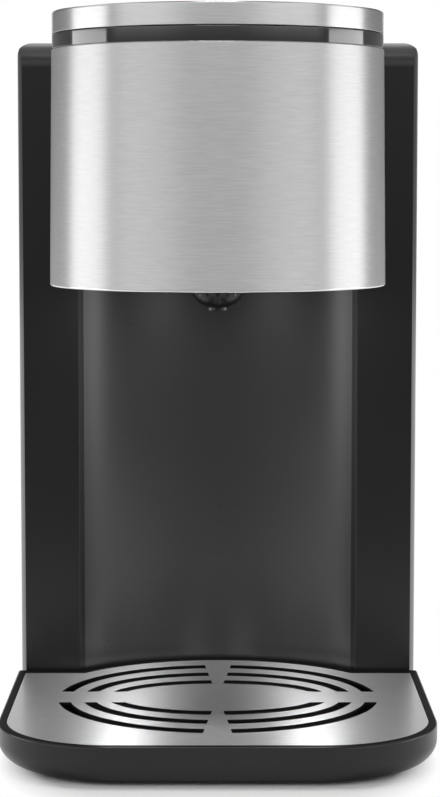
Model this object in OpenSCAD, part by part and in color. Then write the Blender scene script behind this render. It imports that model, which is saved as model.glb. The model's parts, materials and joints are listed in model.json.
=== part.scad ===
// Hot water dispenser: drip tray, tower with a cup niche, round head with a dial, tank at the back.
// +Z is up and the user stands on the -Y side. The origin is the middle of the footprint, on the table.

/* [Overall] */
// Depth from the front of the drip tray to the back of the tank
overall_d = 300; // [294:1:310]
// Gap between pieces that come apart
seam = 0.3; // [0.2:0.05:0.4]
// Gap around a piece that moves
run_gap = 0.3; // [0.25:0.05:0.4]
// Radial play of a pin or shaft in its hole
pin_fit = 0.05; // [0.02:0.01:0.1]

/* [Drip tray] */
// Width of the drip tray
tray_w = 180; // [176:1:190]
// Depth of the drip tray in front of the tower
tray_d = 144; // [140:1:150]
// Height of the rim above the table
tray_h = 15.6; // [15:0.1:20]
// Radius of the two front corners
tray_corner_r = 48; // [30:1:58]
// Width of the rim along the front and sides
rim_w = 3.2; // [2.4:0.1:5]
// Width of the rim along the tower
rim_back_w = 5; // [3:0.1:6]
// Ledge inside the rim that carries the grid
ledge_w = 2; // [1.5:0.1:3.5]
// Thickness of the tray's floor
tray_floor_t = 1.8; // [1.2:0.1:2.5]
// Gap between the tray's skirt and the table
tray_ground = 1.2; // [0.8:0.1:1.4]
// Thickness of the steel grid
grid_t = 1; // [0.8:0.1:1.6]
// How far the grid lies below the rim
grid_drop = 0.2; // [0.1:0.1:0.6]
// Gap between the grid and the rim
grid_gap = 0.4; // [0.3:0.1:0.8]
// Half width of the inner ring of drain slots
slot_side = 45; // [41:0.1:49]
// Step of that half width from one ring of slots to the next
slot_side_pitch = 10.4; // [9:0.1:11]
// Distance from the middle of the rings to the inner ring's front
slot_deep = 30.1; // [26:0.1:34]
// Step of that distance from one ring of slots to the next
slot_deep_pitch = 16.2; // [12:0.1:17]
// Width of a drain slot at the sides
slot_w = 5.1; // [3:0.1:6]
// Width of a drain slot at the front and back
slot_deep_w = 7; // [4:0.1:8]
// Width of the solid bar at each side of the slots
slot_bar = 20.6; // [12:0.1:26]
// Angle of the solid bar at the front and back of the slots
slot_gap_angle = 10.3; // [6:0.1:16]

/* [Base] */
// Height of the rubber feet below the base plate
foot_h = 1.6; // [1.5:0.1:3]
// Radius of a rubber foot
foot_r = 8; // [6:0.5:10]
// Depth of the pocket that holds a foot
foot_pocket = 1; // [0.6:0.1:1.4]
// Thickness of the base plate
base_t = 3; // [2.6:0.1:4]
// How far the tongue under the tray stays behind the tray's front
tongue_setback = 30; // [20:1:45]
// Distance of a front foot from the tongue's edges
foot_inset = 12; // [11:1:18]
// Distance of a rear foot from the dock's side
rear_foot_x = 24; // [22:1:30]
// Distance of a rear foot from the dock's back
rear_foot_y = 16; // [15:1:22]

/* [Tower] */
// Width of the tower
tower_w = 178; // [174:1:184]
// Depth of the tower
tower_d = 81; // [79:1:86]
// How far the tower's top lies above the drum
tower_rise = 6.6; // [5:0.1:12]
// Wall of the moulded covers
wall = 2.5; // [2.2:0.1:2.8]
// Radius of the tower's upright edges
edge_r = 3; // [1:0.5:5]
// Radius of the tower's top front edge
top_front_r = 9; // [5:0.5:13]
// Radius of the tower's top side corners
top_corner_r = 4.5; // [3:0.5:6.5]
// Radius of the niche behind the cup, about the head's axis
niche_r = 82.4; // [80:0.1:84]
// How far the niche's ceiling lies above the drum's bottom
niche_lift = 1.2; // [0.8:0.1:3]
// Flange of the niche panel behind the tower's front wall
flange_w = 8; // [5:0.5:10]
// Radius of a screw boss
boss_r = 4; // [3.5:0.1:4.5]
// Height of the lowest cover screws above the base plate
cover_screw_low = 40; // [34:1:60]
// Distance of the highest cover screws below the tower's top
cover_screw_top = 24; // [18:1:40]
// Distance of the base screws from the tower's front and back
base_screw_y = 12; // [10:1:18]
// Depth of a base screw's boss above the base plate
base_boss_h = 16; // [14:1:22]

/* [Screws] */
// Radius of a screw's shank
screw_r = 1.5; // [1.2:0.05:1.75]
// Radius of a screw's head
screw_head_r = 2.8; // [2.5:0.1:3.2]
// Height of a screw's head
screw_head_h = 1.8; // [1.4:0.1:2]
// Length of a screw's shank
screw_len = 12; // [10:0.5:13]

/* [Head] */
// Distance of the head's axis in front of the tower
head_reach = 54; // [52:0.5:57]
// Height of the drum's lower edge
head_z = 192; // [188:1:197]
// Height of the brushed drum
head_h = 98; // [96:0.5:101]
// Radius of the drum at its top
head_r = 69.4; // [68:0.1:71]
// Extra radius of the drum at its bottom
head_draft = 1.1; // [0.6:0.1:1.6]
// Thickness of the drum's steel sheet
skin_t = 0.8; // [0.6:0.1:1]
// Wall of the frame inside the drum
frame_wall = 2.5; // [2:0.1:3]
// Gap between the drum and the tower
pocket_gap = 0.5; // [0.4:0.1:0.8]
// Half width of the drum's open back, inside the tower
shell_gap_half = 40; // [38:0.5:43]
// Half width of the frame's mounting pad
pad_half = 36; // [35:0.5:37]
// Half width of the hose window in the pad
window_half = 20; // [17:0.5:22]
// Height of the hose window
window_h = 46; // [40:1:50]
// Sideways place of the head screws
head_screw_x = 28; // [27:0.5:30]
// Thickness of the head's underside plate
underside_t = 3; // [2.5:0.1:4]
// How far the underside plate lies above the drum's lower edge
underside_lift = 0.6; // [0.3:0.1:1]

/* [Nozzle] */
// Depth of the domed nozzle
nozzle_depth = 10.3; // [9:0.1:12]
// Radius of the dome's flat tip before its round
nozzle_flat = 1.5; // [1:0.1:3]
// Radius of the water outlet
outlet_r = 3.2; // [3:0.1:3.4]
// Wall of the outlet's lip
outlet_lip_t = 1; // [0.8:0.1:1.4]
// Length of the outlet's lip below the dome
outlet_lip_h = 1.2; // [0.6:0.1:2]
// Radius of the nozzle's neck
neck_r = 9; // [8:0.1:9.2]
// Height of the neck above the underside plate
neck_h = 4; // [3.6:0.1:4.6]
// Number of vent grooves round the dome
groove_n = 16; // [10:1:20]
// Width of a vent groove
groove_w = 1.3; // [0.8:0.1:1.6]
// Depth of a vent groove
groove_depth = 1.2; // [0.8:0.1:1.6]
// Cord radius of the sealing rings
seal_r = 1.1; // [0.9:0.1:1.2]
// Radius of the outlet chamber
chamber_r = 16; // [15:0.5:18]
// Height of the outlet chamber
chamber_h = 38; // [34:1:42]

/* [Dial] */
// Height of the gloss band
band_h = 6; // [5:0.1:8]
// Height of the steel dial ring
ring_h = 9.1; // [8.5:0.1:11]
// Width of the dial ring's top
ring_w = 8.2; // [7.5:0.1:9]
// Radius of the dial ring's top edge
ring_edge_r = 0.9; // [0.4:0.1:1.5]
// Width of the dial ring's inner lip
lip_w = 3.5; // [3:0.1:4]
// Height of the dial ring's inner lip
lip_h = 5; // [4.5:0.1:5.4]
// How far the control panel lies below the dial's top
panel_drop = 1; // [0.6:0.1:1.6]
// Rim of the dial gear outside its teeth
gear_rim = 4.7; // [4:0.1:5.2]
// Teeth of the dial gear
ring_teeth = 54; // [54:2:56]
// Teeth of the encoder pinion
pinion_teeth = 18; // [16:2:18]
// Height of the dial gear
gear_h = 9; // [7:0.5:10]
// Free play at a tooth's flank
flank_gap = 0.15; // [0.12:0.01:0.2]

/* [Controls] */
// Radius of a small button
button_r = 6.2; // [5:0.1:6.6]
// How far the small buttons stay inside the ring of posts
button_in = 7; // [5:0.1:8]
// Angle between the small buttons
button_step = 30; // [28:1:32]
// Radius of the start button
start_r = 15; // [12:0.5:15.5]
// How far the buttons stand above the panel
button_rise = 0.5; // [0.3:0.1:0.9]
// Width of the collar that holds a button under the panel
collar_w = 1.4; // [1:0.1:1.5]
// Travel of a button
press = 1; // [0.6:0.1:1.2]
// Radius of a button's stem
stem_r = 2; // [1.6:0.1:2.2]
// Width of the display window
display_w = 44; // [38:1:46]
// Depth of the display window
display_d = 16; // [14:0.5:17]
// Thickness of the display window
display_t = 1.4; // [1:0.1:1.6]
// Ledge under the display window
display_ledge = 2; // [1.5:0.1:3]
// Distance of the display from the head's axis
display_y = 29; // [28.5:0.5:31]
// Height of the control deck below the drum's top
deck_drop = 32; // [30:0.5:34]
// Thickness of the control deck
deck_t = 3; // [2.5:0.1:4]
// Height of the control board above the deck
board_lift = 13; // [11:0.5:14]
// Gap between the control board and the posts
board_gap = 1.8; // [0.8:0.1:2.2]
// Thickness of the circuit boards
board_t = 1.6; // [1.2:0.1:2]
// Radius of the posts under the panel
post_r = 3.2; // [2.8:0.1:3.4]
// Gap between the posts and the dial gear's teeth
post_gap = 2.2; // [1:0.1:2.4]

/* [Tank] */
// How far the tank stays inside the tower's sides
tank_inset = 3; // [2:0.1:6]
// Height of the tank
tank_h = 254; // [246:1:258]
// Wall of the tank
tank_wall = 2.4; // [2:0.1:3]
// Floor of the tank
tank_floor = 3; // [2.5:0.1:4]
// Radius of the tank's rear corners
tank_back_r = 32; // [26:1:34]
// Radius of the tank's front corners
tank_front_r = 6; // [4:0.5:9]
// Gap between the tower and the tank
tank_gap = 2.5; // [2.3:0.1:4]
// Height of the shelf under the tank
dock_top = 26; // [25:0.5:30]
// Radius of the shelf's rear corners
dock_back_r = 30; // [25:1:32]
// How far the shelf stays inside the tower's sides
dock_inset = 1.5; // [1:0.1:3]
// How far the shelf stays in front of the tank's back
dock_setback = 2.5; // [2.2:0.1:4]
// Thickness of the lid
lid_t = 4; // [3:0.1:5]
// Outer radius of the lid's hinge
hinge_r = 4; // [3.5:0.1:4.5]
// Radius of the hinge pin
hinge_pin_r = 1.5; // [1.2:0.1:1.8]
// Half length of the lid's hinge barrel
barrel_half = 30; // [24:1:36]
// Width of a hinge ear on the tank
ear_w = 8; // [6:0.5:10]
// Length of the grip on the lid
grip_w = 60; // [45:1:80]
// Height of the grip on the lid
grip_h = 3; // [2:0.5:4]

/* [Tank valve] */
// Outer radius of the tank's spout
spout_r = 9; // [8.5:0.1:9.5]
// Inner radius of the tank's spout
spout_bore_r = 6; // [5:0.1:6.5]
// Length of the tank's spout
spout_len = 8; // [7:0.1:9]
// Radius of the valve's disc
valve_disc_r = 8.5; // [8:0.1:9]
// Thickness of the valve's disc
valve_disc_t = 2.5; // [2:0.1:3]
// Radius of the valve's stem
valve_stem_r = 2.2; // [1.8:0.1:2.5]
// How far the docked valve stands open
valve_lift = 3; // [2.8:0.1:4]
// Radius of the valve's cage
cage_r = 14; // [13:0.5:16]
// Height of the valve's cage
cage_h = 18; // [17:0.5:20]
// Wire radius of the valve's spring
wire_r = 0.5; // [0.4:0.05:0.6]
// Middle radius of the valve's spring
coil_r = 5; // [4.5:0.1:6]
// Turns of the valve's spring
coil_turns = 5; // [4:1:5]
// Radius of the level float
float_r = 9; // [8:0.5:10]
// Height of the level float
float_h = 14; // [12:0.5:16]
// Travel of the level float
float_travel = 18; // [16:1:24]
// Radius of the float's post
float_post_r = 2; // [1.6:0.1:2.4]
// Sideways place of the float
float_x = 50; // [44:1:58]

/* [Water path] */
// Radius of a hose spigot
spigot_r = 4; // [3.6:0.1:4.2]
// Bore of a hose spigot
spigot_bore_r = 2.6; // [2:0.1:2.8]
// Length of a hose spigot
spigot_len = 10; // [9:0.5:11]
// Wall of a hose
hose_wall = 1.4; // [1.2:0.1:1.6]
// Radius of the cord gland's bore
gland_bore_r = 3.6; // [3.2:0.1:4]
// Wall of the cord gland
gland_wall = 2.4; // [2:0.1:3]
// Width of the cord gland's collar
gland_collar = 2; // [1.5:0.1:2.5]
// Sideways place of the cord gland
gland_x = 48; // [40:1:50]
// Sideways place of the pump
pump_x = 55; // [52:1:58]
// Distance of the pump and heater axes from the rear cover's inner face
flow_back = 24; // [23:0.5:25]
// Radius of the pump's housing
pump_r = 17; // [16:0.5:18]
// Height of the pump's housing
pump_h = 24; // [22:0.5:26]
// Height of the pump's housing above the base plate
pump_lift = 42; // [40:0.5:46]
// Radius of the pump's motor
motor_r = 12; // [11:0.5:13]
// Height of the pump's motor
motor_h = 38; // [34:1:42]
// Radius of the pump's shaft
shaft_r = 1.5; // [1.2:0.1:2]
// Sideways place of the heater
heater_x = 50; // [48:1:52]
// Radius of the heater's tube
heater_r = 18; // [17:0.5:19]
// Wall of the heater's tube
heater_wall = 1.2; // [1:0.1:1.5]
// Length of the heater's tube
heater_len = 138; // [130:1:142]
// Height of a heater cap
heater_cap_h = 14; // [13:0.5:16]
// Width of the power board
power_w = 76; // [70:1:78]
// Height of the power board
power_h = 100; // [90:1:104]
// Height of the power board above the base plate
power_lift = 124; // [118:1:128]
// Length of the power board's standoffs
standoff_len = 6; // [5:0.5:8]
// Radius of a standoff
standoff_r = 3; // [2.5:0.1:3.5]

/* [Hidden] */
$fn = 96;

// A cut runs this far past the face that it opens
over = 1;
// Pieces of one solid share this much
lap = 0.2;

// Colours
gloss_black = [0.03, 0.03, 0.03];
satin_black = [0.09, 0.09, 0.1];
inner_grey = [0.35, 0.36, 0.38];
brushed = [0.74, 0.74, 0.75];
dark_rubber = [0.06, 0.06, 0.06];
clear_smoke = [0.55, 0.6, 0.65, 0.5];
silicone = [0.85, 0.85, 0.82];
board_green = [0.1, 0.35, 0.2];
white_part = [0.9, 0.9, 0.88];
lens_dark = [0.08, 0.09, 0.1];
float_red = [0.7, 0.13, 0.13];

// Places along the depth
front_y = -overall_d / 2;
back_y = overall_d / 2;
tower_y = front_y + tray_d;
tower_back_y = tower_y + tower_d;
head_y = tower_y - head_reach;
cover_y = tower_back_y - wall;
tank_y0 = tower_back_y + tank_gap;
dock_y0 = tower_back_y + seam;
dock_y1 = back_y - dock_setback;
valve_y = (tank_y0 + back_y) / 2;
flow_y = cover_y - flow_back;

// Widths
niche_half = sqrt(niche_r * niche_r - head_reach * head_reach);
wall_gap_half = sqrt(niche_r * niche_r - (head_reach + wall) * (head_reach + wall));
tongue_half = wall_gap_half - 2 * seam;
tongue_y = front_y + tongue_setback;
tower_in_half = tower_w / 2 - wall;
dock_w = tower_w - 2 * dock_inset;
tank_w = tower_w - 2 * tank_inset;

// Heights
base_top = foot_h + base_t;
tray_floor_z = base_top + seam + tray_floor_t;
grid_z = tray_h - grid_drop - grid_t;
niche_top = head_z + niche_lift;
ceiling_top = niche_top + wall;
drum_top = head_z + head_h;
tower_h = drum_top + tower_rise;
under_z = head_z + underside_lift;
under_top = under_z + underside_t;
ring_z = drum_top + band_h + run_gap;
ring_top = ring_z + ring_h;
panel_z = ring_z + lip_h + run_gap;
panel_top = ring_top - panel_drop;
deck_z = drum_top - deck_drop;
deck_top = deck_z + deck_t;
board_z = deck_top + board_lift;
board_top = board_z + board_t;
tank_z = dock_top + seam;
tank_floor_top = tank_z + tank_floor;
tank_top = tank_z + tank_h;

// Drip grid
slot_rings = 3;
oval_steps = 120;

// Screws
boss_x = tower_in_half - boss_r + lap;
cover_screw_z = [base_top + cover_screw_low, tower_h - cover_screw_top];
pilot_r = screw_r + pin_fit;
pilot_len = screw_len + over;
boss_floor = 3;
base_screw_ys = [tower_y + base_screw_y, tower_back_y - base_screw_y];
dock_screw_x = dock_w / 2 - dock_back_r;
dock_screw_in = 14;
dock_screw_y = dock_y0 + dock_screw_in;
base_screw_spots = [
  for (s = [-1, 1]) each [
    for (y = base_screw_ys) [s * boss_x, y],
    [s * dock_screw_x, dock_screw_y]
  ]
];

// Feet
foot_spots = [
  for (s = [-1, 1]) each [
    [s * (tongue_half - foot_inset), tongue_y + foot_inset],
    [s * (dock_w / 2 - rear_foot_x), dock_y1 - rear_foot_y]
  ]
];

// Head
frame_r = head_r - skin_t - seam;
frame_in_r = frame_r - frame_wall;
ledge_h = 3;
window_lift = 12;
window_z = under_top + window_lift;
head_screw_low = 7;
head_screw_high = 9;
head_screw_zs = [under_top + head_screw_low, drum_top - head_screw_high];
boss_out = 3;
head_boss_y = head_y + head_r + head_draft + pocket_gap + wall + boss_out;
pad_depth = 14;
pad_end = 2;
window_cut = head_r + 2 * pad_depth;

// Dial
band_step = 0.1;
band_r = head_r - band_step;
ring_in_r = head_r - ring_w;
gear_r = ring_in_r - run_gap;
gear_z = ring_z - gear_h;
dedendum_share = 1.1;
addendum_share = 0.8;
gear_m = (gear_r - gear_rim) / (ring_teeth / 2 + dedendum_share);
gear_in_r = gear_m * (ring_teeth / 2 - addendum_share);
pinion_x = -gear_m * (ring_teeth - pinion_teeth) / 2;
pressure_angle = 20;
addendum = addendum_share * gear_m;
dedendum = dedendum_share * gear_m;
pinion_shaft_r = 2.5;
pinion_grip = 4;
flank_steps = 3;
encoder_w = 11;
encoder_h = 7;
encoder_floor = 2;

// Controls
panel_r = ring_in_r - run_gap;
post_ring_r = gear_in_r - post_r - post_gap;
board_r = post_ring_r - post_r - board_gap;
button_ring_r = post_ring_r - button_in;
collar_t = 1.4;
switch_w = 7;
switch_h = 5;
stem_sink = 1.5;
stem_end = board_top + switch_h - stem_sink;
start_stem_extra = 1;
start_stem_r = stem_r + start_stem_extra;
button_n = 4;
post_angles = [0, 90, 150, 210, 270];
standoff_angles = [45, 135, 225, 315];
board_standoff_in = 9;
board_standoff_ring = board_r - board_standoff_in;
module_margin = 3;

// Nozzle and outlet chamber
nozzle_r = nozzle_flat + nozzle_depth;
neck_wall = 3;
neck_bore_r = neck_r - neck_wall;
seal_ring_r = neck_r + seal_r + pin_fit;
socket_r = seal_ring_r + seal_r + pin_fit;
socket_end_gap = 1;
socket_h = neck_h + socket_end_gap;
chamber_wall = 2.5;
chamber_spigot_drop = 13;
chamber_spigot_z = under_top + chamber_h - chamber_spigot_drop;

// Tank valve and dock
cup_r = spout_r + 2 * run_gap;
cup_wall = 3.6;
cup_end_gap = 1.8;
cup_floor = tank_z - spout_len - cup_end_gap;
dock_seal_ring_r = spout_r + run_gap + seal_r;
dock_seal_z = tank_z - spout_len / 2;
groove_r = dock_seal_ring_r + seal_r + pin_fit;
hose_floor_gap = 1.2;
dock_spigot_z = base_top + spigot_r + hose_wall + hose_floor_gap;
pusher_r = 2;
riser_r = spigot_bore_r - seam;
stem_recess = 1;
stem_bottom = tank_z - spout_len + stem_recess;
stem_rise = 2;
disc_z = tank_floor_top + valve_lift;
cage_top = tank_floor_top + cage_h;
cage_plate_t = 2;
cage_leg_r = 1.5;
cage_leg_in = 0.5;
cage_leg_n = 4;

// Lid hinge
hinge_y = back_y - hinge_r;
hinge_z = tank_top + hinge_r + run_gap;
bridge_w = 2;
bridge_y = hinge_y - hinge_r - bridge_w;
bridge_t = 3;
lid_z = tank_top + seam;
lid_back_y = hinge_y - hinge_r - 2 * run_gap;
ear_x0 = barrel_half + run_gap;
grip_d = 8;
grip_in = 12;
grip_y = tank_y0 + grip_in;

// Float
float_wall_gap = 4;
float_y = tank_y0 + tank_wall + float_r + float_wall_gap;
float_foot_r = 6;
float_foot_h = 2;
float_z = tank_floor_top + float_foot_h + run_gap;
float_knob_z = float_z + float_h + float_travel + run_gap;
float_knob_r = 4;
float_knob_h = 2;
sensor_w = 14;
sensor_d = 7;
sensor_h = 20;

// Cord gland
gland_r = gland_bore_r + gland_wall;
gland_lift = 0.5;
gland_z = (base_top + dock_top - wall) / 2 + gland_lift;
gland_collar_t = 1.6;
gland_len = 14;

// Pump
pump_z = base_top + pump_lift;
pump_top = pump_z + pump_h;
pump_wall = 3;
impeller_gap = 1;
impeller_r = pump_r - pump_wall - impeller_gap;
impeller_t = 2;
vane_n = 6;
vane_h = 8;
vane_t = 1.5;
shaft_sink = 16;
pump_port_z = pump_z + pump_h / 2;
bracket_t = 3;
bracket_lift = 8;
bracket_z = pump_top + bracket_lift;
bracket_rim = 4;

// Heater
heater_z = pump_port_z + heater_cap_h / 2;
heater_top = heater_z + heater_len;
bracket_narrow = 2;
bracket_half = heater_r - bracket_narrow;
bracket_h = 10;
bracket_in = 22;
cutout_r = 7;
cutout_t = 6;
probe_r = 2.5;
probe_h = 10;
probe_x = -10;

// Power board
power_x = 16;
relay = [18, 15, 28];
transformer = [30, 22, 26];
terminal = [60, 12, 10];
cap_r = 6;
cap_len = 20;
board_margin = 6;
power_z = base_top + power_lift;
power_y = cover_y - standoff_len;
standoff_in = 6;

// Hoses
hose_sides = 8;
hose_steps = 3;
hose_in_r = (spigot_r + pin_fit) / cos(180 / hose_sides);
hose_r = hose_in_r + hose_wall;
hose_lap = 8;
hose_bend = 4;
notch_gap = 2;
pump_inlet_z = pump_z - spigot_len;
heater_outlet_z = heater_top + heater_cap_h + spigot_len;
dock_spigot_y = valve_y - cup_r - cup_wall - spigot_len;
chamber_spigot_y = head_y + chamber_r + spigot_len;
inlet_route = [
  [0, dock_spigot_y + hose_lap, dock_spigot_z],
  [0, dock_spigot_y, dock_spigot_z],
  [0, (dock_spigot_y + cover_y - hose_bend) / 2, dock_spigot_z],
  [0, cover_y - hose_bend, dock_spigot_z],
  [2.25 * hose_bend, flow_y + 1.75 * hose_bend, dock_spigot_z],
  [pump_x - 6.5 * hose_bend, flow_y + 0.25 * hose_bend, dock_spigot_z],
  [pump_x - 2.25 * hose_bend, flow_y, dock_spigot_z + 0.75 * hose_bend],
  [pump_x - 0.25 * hose_bend, flow_y, pump_inlet_z - 3.5 * hose_bend],
  [pump_x, flow_y, pump_inlet_z - 1.75 * hose_bend],
  [pump_x, flow_y, pump_inlet_z],
  [pump_x, flow_y, pump_inlet_z + hose_lap]
];
outlet_route = [
  [-heater_x, flow_y, heater_outlet_z - hose_lap],
  [-heater_x, flow_y, heater_outlet_z],
  [-heater_x, flow_y, heater_outlet_z + hose_bend],
  [3 * hose_bend - heater_x, flow_y - hose_bend, heater_outlet_z + 3.5 * hose_bend],
  [-4 * hose_bend, flow_y - 4.5 * hose_bend, chamber_spigot_z + 4.5 * hose_bend],
  [-hose_bend, flow_y - 10 * hose_bend, chamber_spigot_z + 1.5 * hose_bend],
  [0, chamber_spigot_y + 3.5 * hose_bend, chamber_spigot_z],
  [0, chamber_spigot_y, chamber_spigot_z],
  [0, chamber_spigot_y - hose_lap, chamber_spigot_z]
];

// Spring
spring_z0 = disc_z + valve_disc_t + wire_r;
spring_z1 = cage_top - cage_plate_t - wire_r;
spring_sides = 6;
spring_rings = 8;
spring_path = [
  for (i = [0 : coil_turns * spring_rings])
    let (a = 360 * i / spring_rings, t = i / (coil_turns * spring_rings))
      [coil_r * cos(a), valve_y + coil_r * sin(a), spring_z0 + t * (spring_z1 - spring_z0)]
];
spring_gap = min([
  for (i = [0 : len(spring_path) - 1], j = [i + spring_rings - 2 : 1 : len(spring_path) - 1])
    norm(spring_path[i] - spring_path[j]) - 2 * wire_r
]);
echo(valve_spring_least_gap = spring_gap);  // valve_spring

// Radius of the drum's outer face at a height
function drum_r(z) = head_r + head_draft * (drum_top - z) / head_h;

// Curves and swept tubes
function unit(v) = v / norm(v);

function curve_point(a, b, c, d, t) =
  0.5 * (2 * b + (c - a) * t + (2 * a - 5 * b + 4 * c - d) * t * t + (3 * b - a - 3 * c + d) * t * t * t);

function smooth(route, steps) =
  let (n = len(route), first = 2 * route[0] - route[1], last = 2 * route[n - 1] - route[n - 2])
    concat(
      [
        for (i = [0 : n - 2], k = [0 : steps - 1])
          curve_point(
            i == 0 ? first : route[i - 1], route[i], route[i + 1],
            i == n - 2 ? last : route[i + 2], k / steps
          )
      ],
      [route[n - 1]]
    );

function tangents(path) = [
  for (i = [0 : len(path) - 1])
    unit(path[min(i + 1, len(path) - 1)] - path[max(i - 1, 0)])
];

function side_vectors(tangent, last, i = 0) =
  i == len(tangent) ? [] :
    let (side = unit(last - tangent[i] * (last * tangent[i])))
      concat([side], side_vectors(tangent, side, i + 1));

function rings(path, r, sides) =
  let (t = tangents(path), u = side_vectors(t, [0.31, 0.52, 0.8]))
    [
      for (i = [0 : len(path) - 1], k = [0 : sides - 1])
        let (a = 360 * k / sides)
          path[i] + r * (cos(a) * u[i] + sin(a) * cross(t[i], u[i]))
    ];

function skin_faces(n, sides, first, flip) = [
  for (i = [0 : n - 2], k = [0 : sides - 1])
    let (
      a = first + i * sides + k, b = first + i * sides + (k + 1) % sides,
      c = a + sides, d = b + sides
    )
      each flip ? [[a, b, d], [a, d, c]] : [[a, d, b], [a, c, d]]
];

// Hollow tube along a path
module hollow_tube(path, r, in_r, sides) {
  n = len(path);
  inner = n * sides;
  end = (n - 1) * sides;
  rims = [
    for (k = [0 : sides - 1])
      let (m = (k + 1) % sides)
        each [
          [k, m, inner + m], [k, inner + m, inner + k],
          [end + k, inner + end + m, end + m], [end + k, inner + end + k, inner + end + m]
        ]
  ];
  polyhedron(
    concat(rings(path, r, sides), rings(path, in_r, sides)),
    concat(skin_faces(n, sides, 0, false), skin_faces(n, sides, inner, true), rims)
  );
}

// Solid wire along a path
module wire(path, r, sides) {
  n = len(path);
  end = (n - 1) * sides;
  caps = [
    for (k = [1 : sides - 2])
      each [[0, k, k + 1], [end, end + k + 1, end + k]]
  ];
  polyhedron(rings(path, r, sides), concat(skin_faces(n, sides, 0, false), caps));
}

// Shared shapes
module at_head(z = 0) {
  translate([0, head_y, z]) children();
}

module tube(h, r, in_r) {
  difference() {
    cylinder(h = h, r = r);
    translate([0, 0, -over]) cylinder(h = h + 2 * over, r = in_r);
  }
}

module torus(ring_radius, cord_radius) {
  rotate_extrude() translate([ring_radius, 0]) circle(cord_radius);
}

// Plan rectangle from y0 to y1 with its own front and back corner radii
module plan_block(w, y0, y1, front_r, back_r) {
  intersection() {
    translate([-w / 2, y0]) square([w, y1 - y0]);
    union() {
      translate([-w / 2, y0 + front_r]) square([w, y1 - y0 - front_r - back_r]);
      translate([-w / 2 + front_r, y0]) square([w - 2 * front_r, front_r + lap]);
      translate([-w / 2 + back_r, y1 - back_r - lap]) square([w - 2 * back_r, back_r + lap]);
      for (s = [-1, 1]) {
        translate([s * (w / 2 - front_r), y0 + front_r]) circle(front_r);
        translate([s * (w / 2 - back_r), y1 - back_r]) circle(back_r);
      }
    }
  }
}

// Cone that follows the drum's draft
module drum_cone(extra, z0, z1) {
  at_head(z0) cylinder(h = z1 - z0, r1 = drum_r(z0) + extra, r2 = drum_r(z1) + extra);
}

// Space on the back side of a plane across the depth
module behind(y, z0, z1) {
  translate([-tower_w, y, z0]) cube([2 * tower_w, overall_d, z1 - z0]);
}

// Screw with its head's seat at the origin and its shank along +Z
module screw() {
  cylinder(h = screw_len, r = screw_r);
  translate([0, 0, -screw_head_h]) cylinder(h = screw_head_h, r = screw_head_r);
}

module pilot() {
  translate([0, 0, -over]) cylinder(h = pilot_len + over, r = pilot_r);
}

module facing_front() {
  rotate([90, 0, 0]) children();
}

// Bore of a hose spigot from the origin along +Z
module spigot_bore(depth) {
  translate([0, 0, -depth]) cylinder(h = spigot_len + depth + over, r = spigot_bore_r);
}

// Base
module base_outline() {
  translate([-tower_in_half + seam, tower_y + wall + seam])
    square([2 * (tower_in_half - seam), tower_d - wall - seam]);
  inset = wall + seam;
  plan_block(dock_w - 2 * inset, tower_back_y - over, dock_y1 - inset, lap, dock_back_r - inset);
  translate([-tongue_half, tongue_y]) square([2 * tongue_half, tray_d]);
}

module base_plate() {
  color(satin_black) difference() {
    translate([0, 0, foot_h]) linear_extrude(base_t) base_outline();
    for (p = foot_spots) translate([p[0], p[1], 0]) cylinder(h = foot_h + foot_pocket, r = foot_r + seam);
    for (p = base_screw_spots) translate([p[0], p[1], 0]) {
      cylinder(h = foot_h + screw_head_h, r = screw_head_r + seam);
      cylinder(h = base_top + over, r = pilot_r);
    }
  }
}

module rubber_feet() {
  color(dark_rubber) for (p = foot_spots)
    translate([p[0], p[1], 0]) cylinder(h = foot_h + foot_pocket, r = foot_r);
}

module base_screws() {
  color(brushed) for (p = base_screw_spots)
    translate([p[0], p[1], foot_h + screw_head_h]) screw();
}

// Drip tray
module tray_outline(side = 0, back = 0) {
  plan_block(
    tray_w - 2 * side, front_y + side, tower_y - seam - back, tray_corner_r - side, lap
  );
  intersection() {
    translate([0, head_y]) circle(niche_r - seam - back);
    translate([side - tray_w / 2, head_y]) square([tray_w - 2 * side, overall_d]);
  }
}

module drip_tray() {
  color(satin_black) difference() {
    translate([0, 0, tray_ground]) linear_extrude(tray_h - tray_ground) tray_outline();
    translate([0, 0, grid_z]) linear_extrude(tray_h) tray_outline(rim_w, rim_back_w);
    translate([0, 0, tray_floor_z]) linear_extrude(tray_h)
      tray_outline(rim_w + ledge_w, rim_back_w + ledge_w);
    translate([-niche_half, tongue_y - seam, 0]) cube([2 * niche_half, overall_d, base_top + seam]);
  }
}

// Outline of an oval about the middle of the rings
function oval(side, deep) = [
  for (i = [0 : oval_steps - 1]) [side * cos(360 * i / oval_steps), deep * sin(360 * i / oval_steps)]
];

// Four slots of one ring
module slot_ring(side, deep) {
  difference() {
    polygon(oval(side + slot_w / 2, deep + slot_deep_w / 2));
    polygon(oval(side - slot_w / 2, deep - slot_deep_w / 2));
    square([3 * side, slot_bar], center = true);
    solid_wedge(2 * deep);
    rotate(180) solid_wedge(2 * deep);
  }
}

// Wedge of solid sheet between two slots
module solid_wedge(reach) {
  half = reach * tan(slot_gap_angle / 2);
  polygon([[0, 0], [half, -reach], [-half, -reach]]);
}

module drip_grid() {
  color(brushed) translate([0, 0, grid_z]) linear_extrude(grid_t) difference() {
    tray_outline(rim_w + grid_gap, rim_back_w + grid_gap);
    translate([0, head_y]) for (i = [0 : slot_rings - 1])
      slot_ring(slot_side + i * slot_side_pitch, slot_deep + i * slot_deep_pitch);
  }
}

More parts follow.
